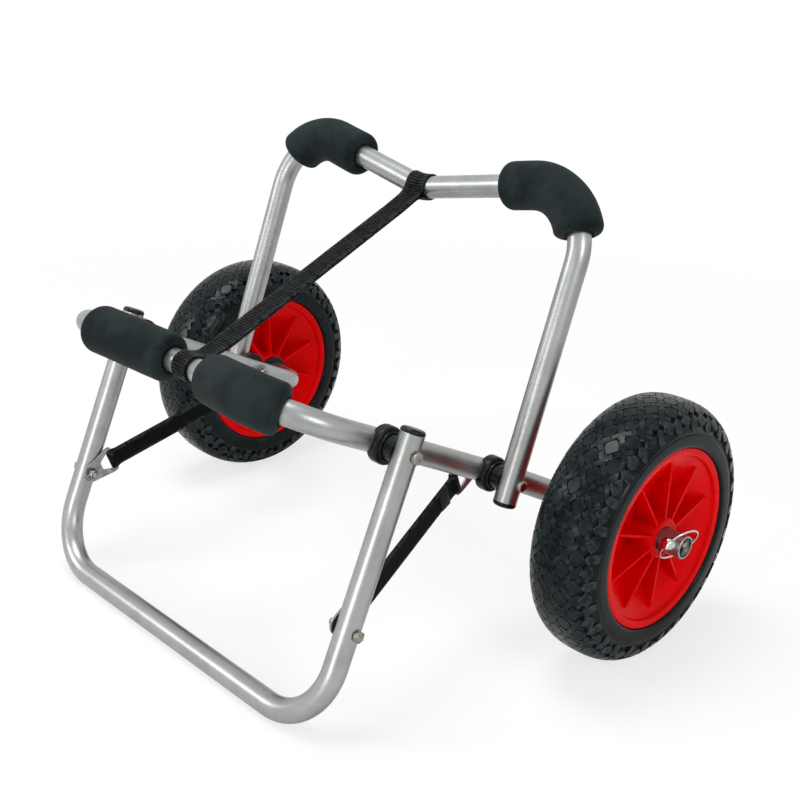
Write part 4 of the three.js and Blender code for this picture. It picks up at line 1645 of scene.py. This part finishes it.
@dataclass
class Tread:
    """Where the tyre's surface runs, and the pattern of blocks, stars and lugs on it."""

    half_width: float = 35.3
    base: float = 93.0
    crown: float = 34.0
    power: float = 2.8
    periods: int = 27
    row: float = 11.9
    phase: float = math.radians(10.0)
    depth: float = 3.0
    block_share: float = 0.65
    groove_share: float = 0.042
    corner_share: float = 0.155
    shoulder: float = 0.45
    star_shoulder: float = 0.4
    star_flare: float = 1.12
    drop: float = 0.3
    root: float = 0.2
    lug_size: Pair = (9.6, 12.0)
    lug_point: float = 3.6
    lug_across: float = 40.6
    shield_cut: float = 5.6

    def __post_init__(self) -> None:
        """Tabulates the section by distance along it from the crown."""
        power = 2 / self.power
        self.table, travelled, before = [], 0.0, None
        for k in range(301):
            turn = math.pi / 2 * (1 - k / 300)
            cos, sin = max(math.cos(turn), 0.0), max(math.sin(turn), 0.0)
            point = Vector((self.half_width * cos ** power, self.crown * sin ** power))
            if before:
                travelled += (point - before).length
            lean = Vector(((point.x / self.half_width) ** (self.power - 1) / self.half_width,
                           (point.y / self.crown) ** (self.power - 1) / self.crown))
            self.table.append((travelled, point, lean.normalized()))
            before = point

    def section(self, across: float, height: float) -> Pair:
        """Place on the tyre's section.

        Args:
            across: Distance from the crown's middle along the section.
            height: Height over the surface.

        Returns:
            Place along the axle and radius.
        """
        target = min(abs(across), self.table[-1][0] - 1e-6)
        low, high = 0, len(self.table) - 1
        while high - low > 1:
            mid = (low + high) // 2
            low, high = (mid, high) if self.table[mid][0] <= target else (low, mid)
        a, b = self.table[low], self.table[high]
        share = (target - a[0]) / (b[0] - a[0])
        point = a[1].lerp(b[1], share) + a[2].lerp(b[2], share) * height
        return math.copysign(point.x, across), self.base + point.y

    def wrap(self, bm: Form) -> None:
        """Wraps flat tiles round the tyre: X goes round it, Y across, Z out of it."""
        reach = self.base + self.crown
        for vert in bm.verts:
            x, radius = self.section(vert.co.y, vert.co.z)
            turn = vert.co.x / reach
            vert.co = Vector((x, radius * math.cos(turn), radius * math.sin(turn)))

    def lattice(self) -> Matrix:
        """Turns the pattern's own unit square into its slanted cell."""
        step = (self.base + self.crown) * math.pi / self.periods
        return Matrix(((step, step, 0, 0), (self.row, -self.row, 0, 0), (0, 0, 1, 0),
                       (0, 0, 0, 1)))

    def raise_tile(self, bm: Form, shoulder: float) -> Form:
        """Gives a flat tile rounded shoulders, a crown, and sides that go into the carcass.

        Args:
            bm: The flat tile, in millimetres, at the height of the surface.
            shoulder: Width of its rounded shoulder.

        Returns:
            The tile.
        """
        top = bm.faces[:]
        for face in top:
            face.normal_update()
            if face.normal.z < 0:
                face.normal_flip()
        bmesh.ops.inset_region(bm, faces=top, thickness=shoulder, use_boundary=True,
                               use_even_offset=True)
        outer = [e for e in bm.edges if e.is_boundary]
        bmesh.ops.translate(bm, vec=(0, 0, -self.drop),
                            verts=list({v for e in outer for v in e.verts}))
        made = bmesh.ops.extrude_edge_only(bm, edges=outer)["geom"]
        bmesh.ops.translate(bm, vec=(0, 0, -self.depth - self.root), verts=verts_in(made))
        bmesh.ops.poke(bm, faces=[f for f in top if f.is_valid])
        bmesh.ops.recalc_face_normals(bm, faces=bm.faces)
        return bm

    def block(self) -> Form:
        """One rhombic block with rounded corners.

        Returns:
            The tile.
        """
        bm = square(self.block_share / 2)
        eased(bm, bm.verts[:], self.corner_share, 2, "VERTICES")
        return self.raise_tile(placed(bm, self.lattice()), self.shoulder)

    def cross(self) -> Form:
        """One four-armed star that lies in the channels between the blocks.

        Returns:
            The tile.
        """
        half = (1 - self.block_share) / 2 - self.groove_share
        end, flare = 0.5 - self.groove_share / 2, half * self.star_flare
        bm = bmesh.new()
        corners = []
        for k in range(4):
            turn = Matrix.Rotation(k * math.pi / 2, 3, "Z")
            corners += [turn @ Vector(c) for c in ((half, -half, 0), (end, -flare, 0),
                                                   (end, flare, 0))]
        face = bm.faces.new([bm.verts.new(c) for c in corners])
        eased(bm, list(face.verts)[::3], self.corner_share, 2, "VERTICES")
        return self.raise_tile(placed(bm, self.lattice()), self.star_shoulder)

    def lug(self) -> Form:
        """One shoulder lug, pointed towards the crown.

        Returns:
            The tile.
        """
        bm = square(0.5)
        bmesh.ops.scale(bm, vec=(*self.lug_size, 1), verts=bm.verts)
        inner = next(e for e in bm.edges if all(v.co.y < 0 for v in e.verts))
        made = bmesh.ops.subdivide_edges(bm, edges=[inner], cuts=1)["geom_inner"]
        bmesh.ops.translate(bm, vec=(0, -self.lug_point, 0), verts=verts_in(made))
        return self.raise_tile(bm, self.shoulder)

    def shield(self) -> Form:
        """One shoulder block: a rhombus with its outer corner cut off.

        Returns:
            The tile.
        """
        bm = placed(square(self.block_share / 2), self.lattice())
        bmesh.ops.bisect_plane(bm, geom=bm.verts[:] + bm.edges[:] + bm.faces[:], dist=WELD,
                               plane_co=(0, self.shield_cut, 0), plane_no=(0, 1, 0),
                               clear_outer=True)
        return self.raise_tile(bm, self.shoulder)

    def tiles(self) -> Form:
        """Lays every tile out flat and wraps them round the tyre.

        Returns:
            The tread's blocks.
        """
        period = 2 * math.pi / self.periods
        reach = self.base + self.crown
        out = bmesh.new()
        block, cross, shield, lug = self.block(), self.cross(), self.shield(), self.lug()
        plan = []
        for row in range(-2, 3):
            odd = (row % 2) / 2
            plan += [(block, row * self.row, odd, 1), (cross, row * self.row, odd + 0.5, 1)]
        for sign in (-1, 1):
            plan += [(shield, sign * 3 * self.row, 0.5, sign),
                     (lug, sign * self.lug_across, 0.0, sign)]
        for tile, across, shift, sign in plan:
            mesh = bpy.data.meshes.new("tile")
            tile.to_mesh(mesh)
            for k in range(self.periods):
                count = len(out.verts)
                out.from_mesh(mesh)
                out.verts.ensure_lookup_table()
                fresh = out.verts[count:]
                if sign < 0:
                    bmesh.ops.rotate(out, matrix=Matrix.Rotation(math.pi, 3, "Z"), verts=fresh)
                bmesh.ops.translate(out, verts=fresh, vec=(
                    (self.phase + (k + shift) * period) * reach, across, 0))
            bpy.data.meshes.remove(mesh)
        for tile in (block, cross, shield, lug):
            tile.free()
        self.wrap(out)
        return out

    def carcass(self, steps: int) -> Form:
        """The tyre's body: grooved depth under the tread, smooth walls, and its bead.

        Args:
            steps: Number of steps round.

        Returns:
            The form.
        """
        marks = [(across, self.depth) for across in (0, 6, 12, 18, 24, 29, 34, 38)]
        marks += [(42, 2.6), (45.4, 1.6), (46.6, 0.6), (47.8, 0), (48.4, 0.35), (49.6, 0.35),
                  (50.2, 0), (52, 0), (54, 0), (56, 0), (57.7, 0)]
        right = [self.section(across + WELD, -depth) for across, depth in marks]
        right += [(35.25, 91.2), (34.9, 89.6), (34.2, 88.5), (33.1, 88.0), (28.9, 87.7),
                  (28.9, 80.3)]
        left = [(-x, r) for x, r in reversed(right[1:])]
        return lathe(left + right, steps, closed=True)

    def form(self) -> Form:
        """The whole tyre at the middle of the frame."""
        return joined(self.carcass(self.periods * 5), self.tiles())


@dataclass
class Rim:
    """The moulded rim: stepped lip, conical web, plate ribs and hub, outboard towards +X."""

    ribs: int = 10
    phase: float = math.radians(14.9)
    rib: float = 2.4
    hub_faces: Pair = (31.1, -35.3)
    web: float = 7.0
    hub_share: float = 0.93
    rib_ease: float = 0.45

    def profile(self, sign: int, hub: float) -> Profile:
        """Half of the rim's profile, from the bead seat in to the bore.

        Args:
            sign: 1 outboard, -1 inboard.
            hub: Place of the hub's face.

        Returns:
            Place along X and radius.
        """
        half = [(29.2, 80.2), (29.2, 87.0), (29.6, 87.4), (32.2, 87.4), (32.8, 87.0),
                (32.9, 86.2), (32.6, 81.2), (32.1, 80.3), (31.2, 79.9), (28.9, 79.4),
                (28.2, 78.7), (27.2, 75.4), (25.4, 71.2), (22.4, 65.4), (18.6, 58.6),
                (15.0, 51.4), (12.0, 44.4), (9.6, 37.6), (8.0, 31.4), (6.8, 26.0),
                (6.0, 21.0)]
        out = [(sign * x, r) for x, r in half]
        face = hub * sign
        out += [(sign * (self.web + (face - self.web) * self.hub_share), 19.4),
                (sign * (face - 0.5), 18.6), (hub, 17.8), (hub, 15.6), (hub - sign * 0.5, 15.2),
                (hub - sign * 0.5, 12.4), (hub - sign * 0.8, 11.8), (hub - sign * 1.2, 11.8),
                (hub - sign * 1.2, 13.8)]
        return out

    def rib_form(self, turn: float) -> Form:
        """One plate rib through the web, with eased edges.

        Args:
            turn: Its angle round the wheel.

        Returns:
            The form.
        """
        corners = [(-33.6, 16.5), (29.4, 16.5), (29.6, 19.5), (28.1, 71.4), (25.2, 74.0),
                   (-25.2, 74.0), (-28.1, 71.4), (-33.8, 19.5)]
        bm = prism([(x, r, -self.rib / 2) for x, r in corners], (0, 0, self.rib))
        bmesh.ops.recalc_face_normals(bm, faces=bm.faces)
        return turned(eased(bm, bm.edges[:], offset=self.rib_ease, segments=1), turn, "X")

    def form(self) -> Form:
        """The whole rim at the middle of the frame.

        Returns:
            The form.
        """
        outboard, inboard = (self.profile(*pair) for pair in zip((1, -1), self.hub_faces))
        body = lathe(outboard + inboard[::-1], 120, closed=True)
        step = 2 * math.pi / self.ribs
        return joined(body, *(self.rib_form(self.phase + k * step) for k in range(self.ribs)))


@dataclass
class LynchPin:
    """The sprung pin through an axle end, with the wire ring in its head."""

    plan: CartPlan
    twist: float = math.radians(32)
    hole_along: float = 18.0
    hole_radius: float = 1.9
    hole_reach: float = 9.0
    ring: float = 20.0
    wire: float = 1.0

    def hole(self) -> Vector:
        """Direction of the hole through the head.

        Returns:
            The direction.
        """
        outboard = Vector((1, 0, 0))
        side = outboard.cross(-self.plan.pin_direction())
        return side * math.cos(self.twist) + outboard * math.sin(self.twist)

    def pin(self) -> Form:
        """The pin with its domed head, drilled for the ring.

        Returns:
            The form.
        """
        profile = [(-17, 0), (-17, 1.7), (-15.2, 3.0), (-12.8, 3.0), (-12.2, 2.6), (-11.6, 3.0),
                   (11.2, 3.0), (11.5, 5.3), (12.2, 5.9), *dome(23.5, 5.9, 3.4, 6), (23.5, 0)]
        along, place = self.plan.pin_direction(), self.plan.pin_point(Side.RIGHT)
        form = placed(lathe(profile, 32), pointing(place, along))
        middle, reach = place + along * self.hole_along, self.hole() * self.hole_reach
        return carve(form, rod(self.hole_radius, middle - reach, middle + reach, 20))

    def ring_form(self) -> Form:
        """The wire ring through the head, round the tube's end.

        Returns:
            The form.
        """
        along, hole = self.plan.pin_direction(), self.hole()
        centre = self.plan.pin_point(Side.RIGHT) + along * (self.hole_along - self.ring)
        bm = bmesh.new()
        bmesh.ops.create_circle(bm, segments=14, radius=self.wire)
        moved(bm, (self.ring, 0, 0))
        bmesh.ops.spin(bm, geom=bm.verts[:] + bm.edges[:], cent=(0, 0, 0), axis=(0, 1, 0),
                       dvec=(0, 0, 0), angle=2 * math.pi, steps=72, use_merge=True)
        return placed(bm, Matrix.Translation(centre) @ axes(along, along.cross(hole), hole))


@dataclass
class Wheels:
    """Both wheels with their tyres, rims, bushes, washers, pins and rings."""

    plan: CartPlan
    centre_x: float = 288.7

    def build(self) -> None:
        """Builds and dresses everything on the two axles."""
        axle = self.plan.axle
        centre = (axle.y, axle.z)
        wheel = axle + Vector((self.centre_x, 0, 0))
        mouldings = {"tyre": (Tread().form(), Finishes.RUBBER), "rim": (Rim().form(), Finishes.RED)}
        retainer = LynchPin(self.plan)
        for side in Side:
            word = side.word
            for label, (form, finish) in mouldings.items():
                finish_sided(moved(form.copy(), wheel), side, label, "moulding", finish,
                             "wheel_" + word)
            bush = lathe([(254.7, 11.4), (254.7, 13.2), (255.0, 13.5), (318.2, 13.5),
                          (318.5, 13.2), (318.5, 11.4)], 40, centre, closed=True)
            washer = lathe([(248.6, 11.4), (248.6, 16.2), (249.4, 17), (252.2, 17),
                            (253.0, 16.2), (253.0, 11.4)], 48, centre, closed=True)
            for form, label, ending, finish, body in (
                    (bush, "bush", "sleeve", Finishes.BLACK, "wheel_" + word),
                    (washer, "washer", "disc", Finishes.BLACK, "main_frame"),
                    (retainer.pin(), "lynch_pin", "steel", Finishes.BRIGHT, "lynch_pin_" + word),
                    (retainer.ring_form(), "pin_ring", "wire", Finishes.BRIGHT,
                     "pin_ring_" + word)):
                finish_sided(form, side, label, ending, finish, body)
        for form, _ in mouldings.values():
            form.free()


def main() -> None:
    """Sets up the room, then builds the cart's sub-assemblies in order."""
    logging.basicConfig(level=logging.INFO, format="%(message)s")
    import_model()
    plan = CartPlan()
    Studio().build()
    Tubes(plan).build()
    FoldingGear(plan).build()
    Wheels(plan).build()


if __name__ == "__main__":
    main()
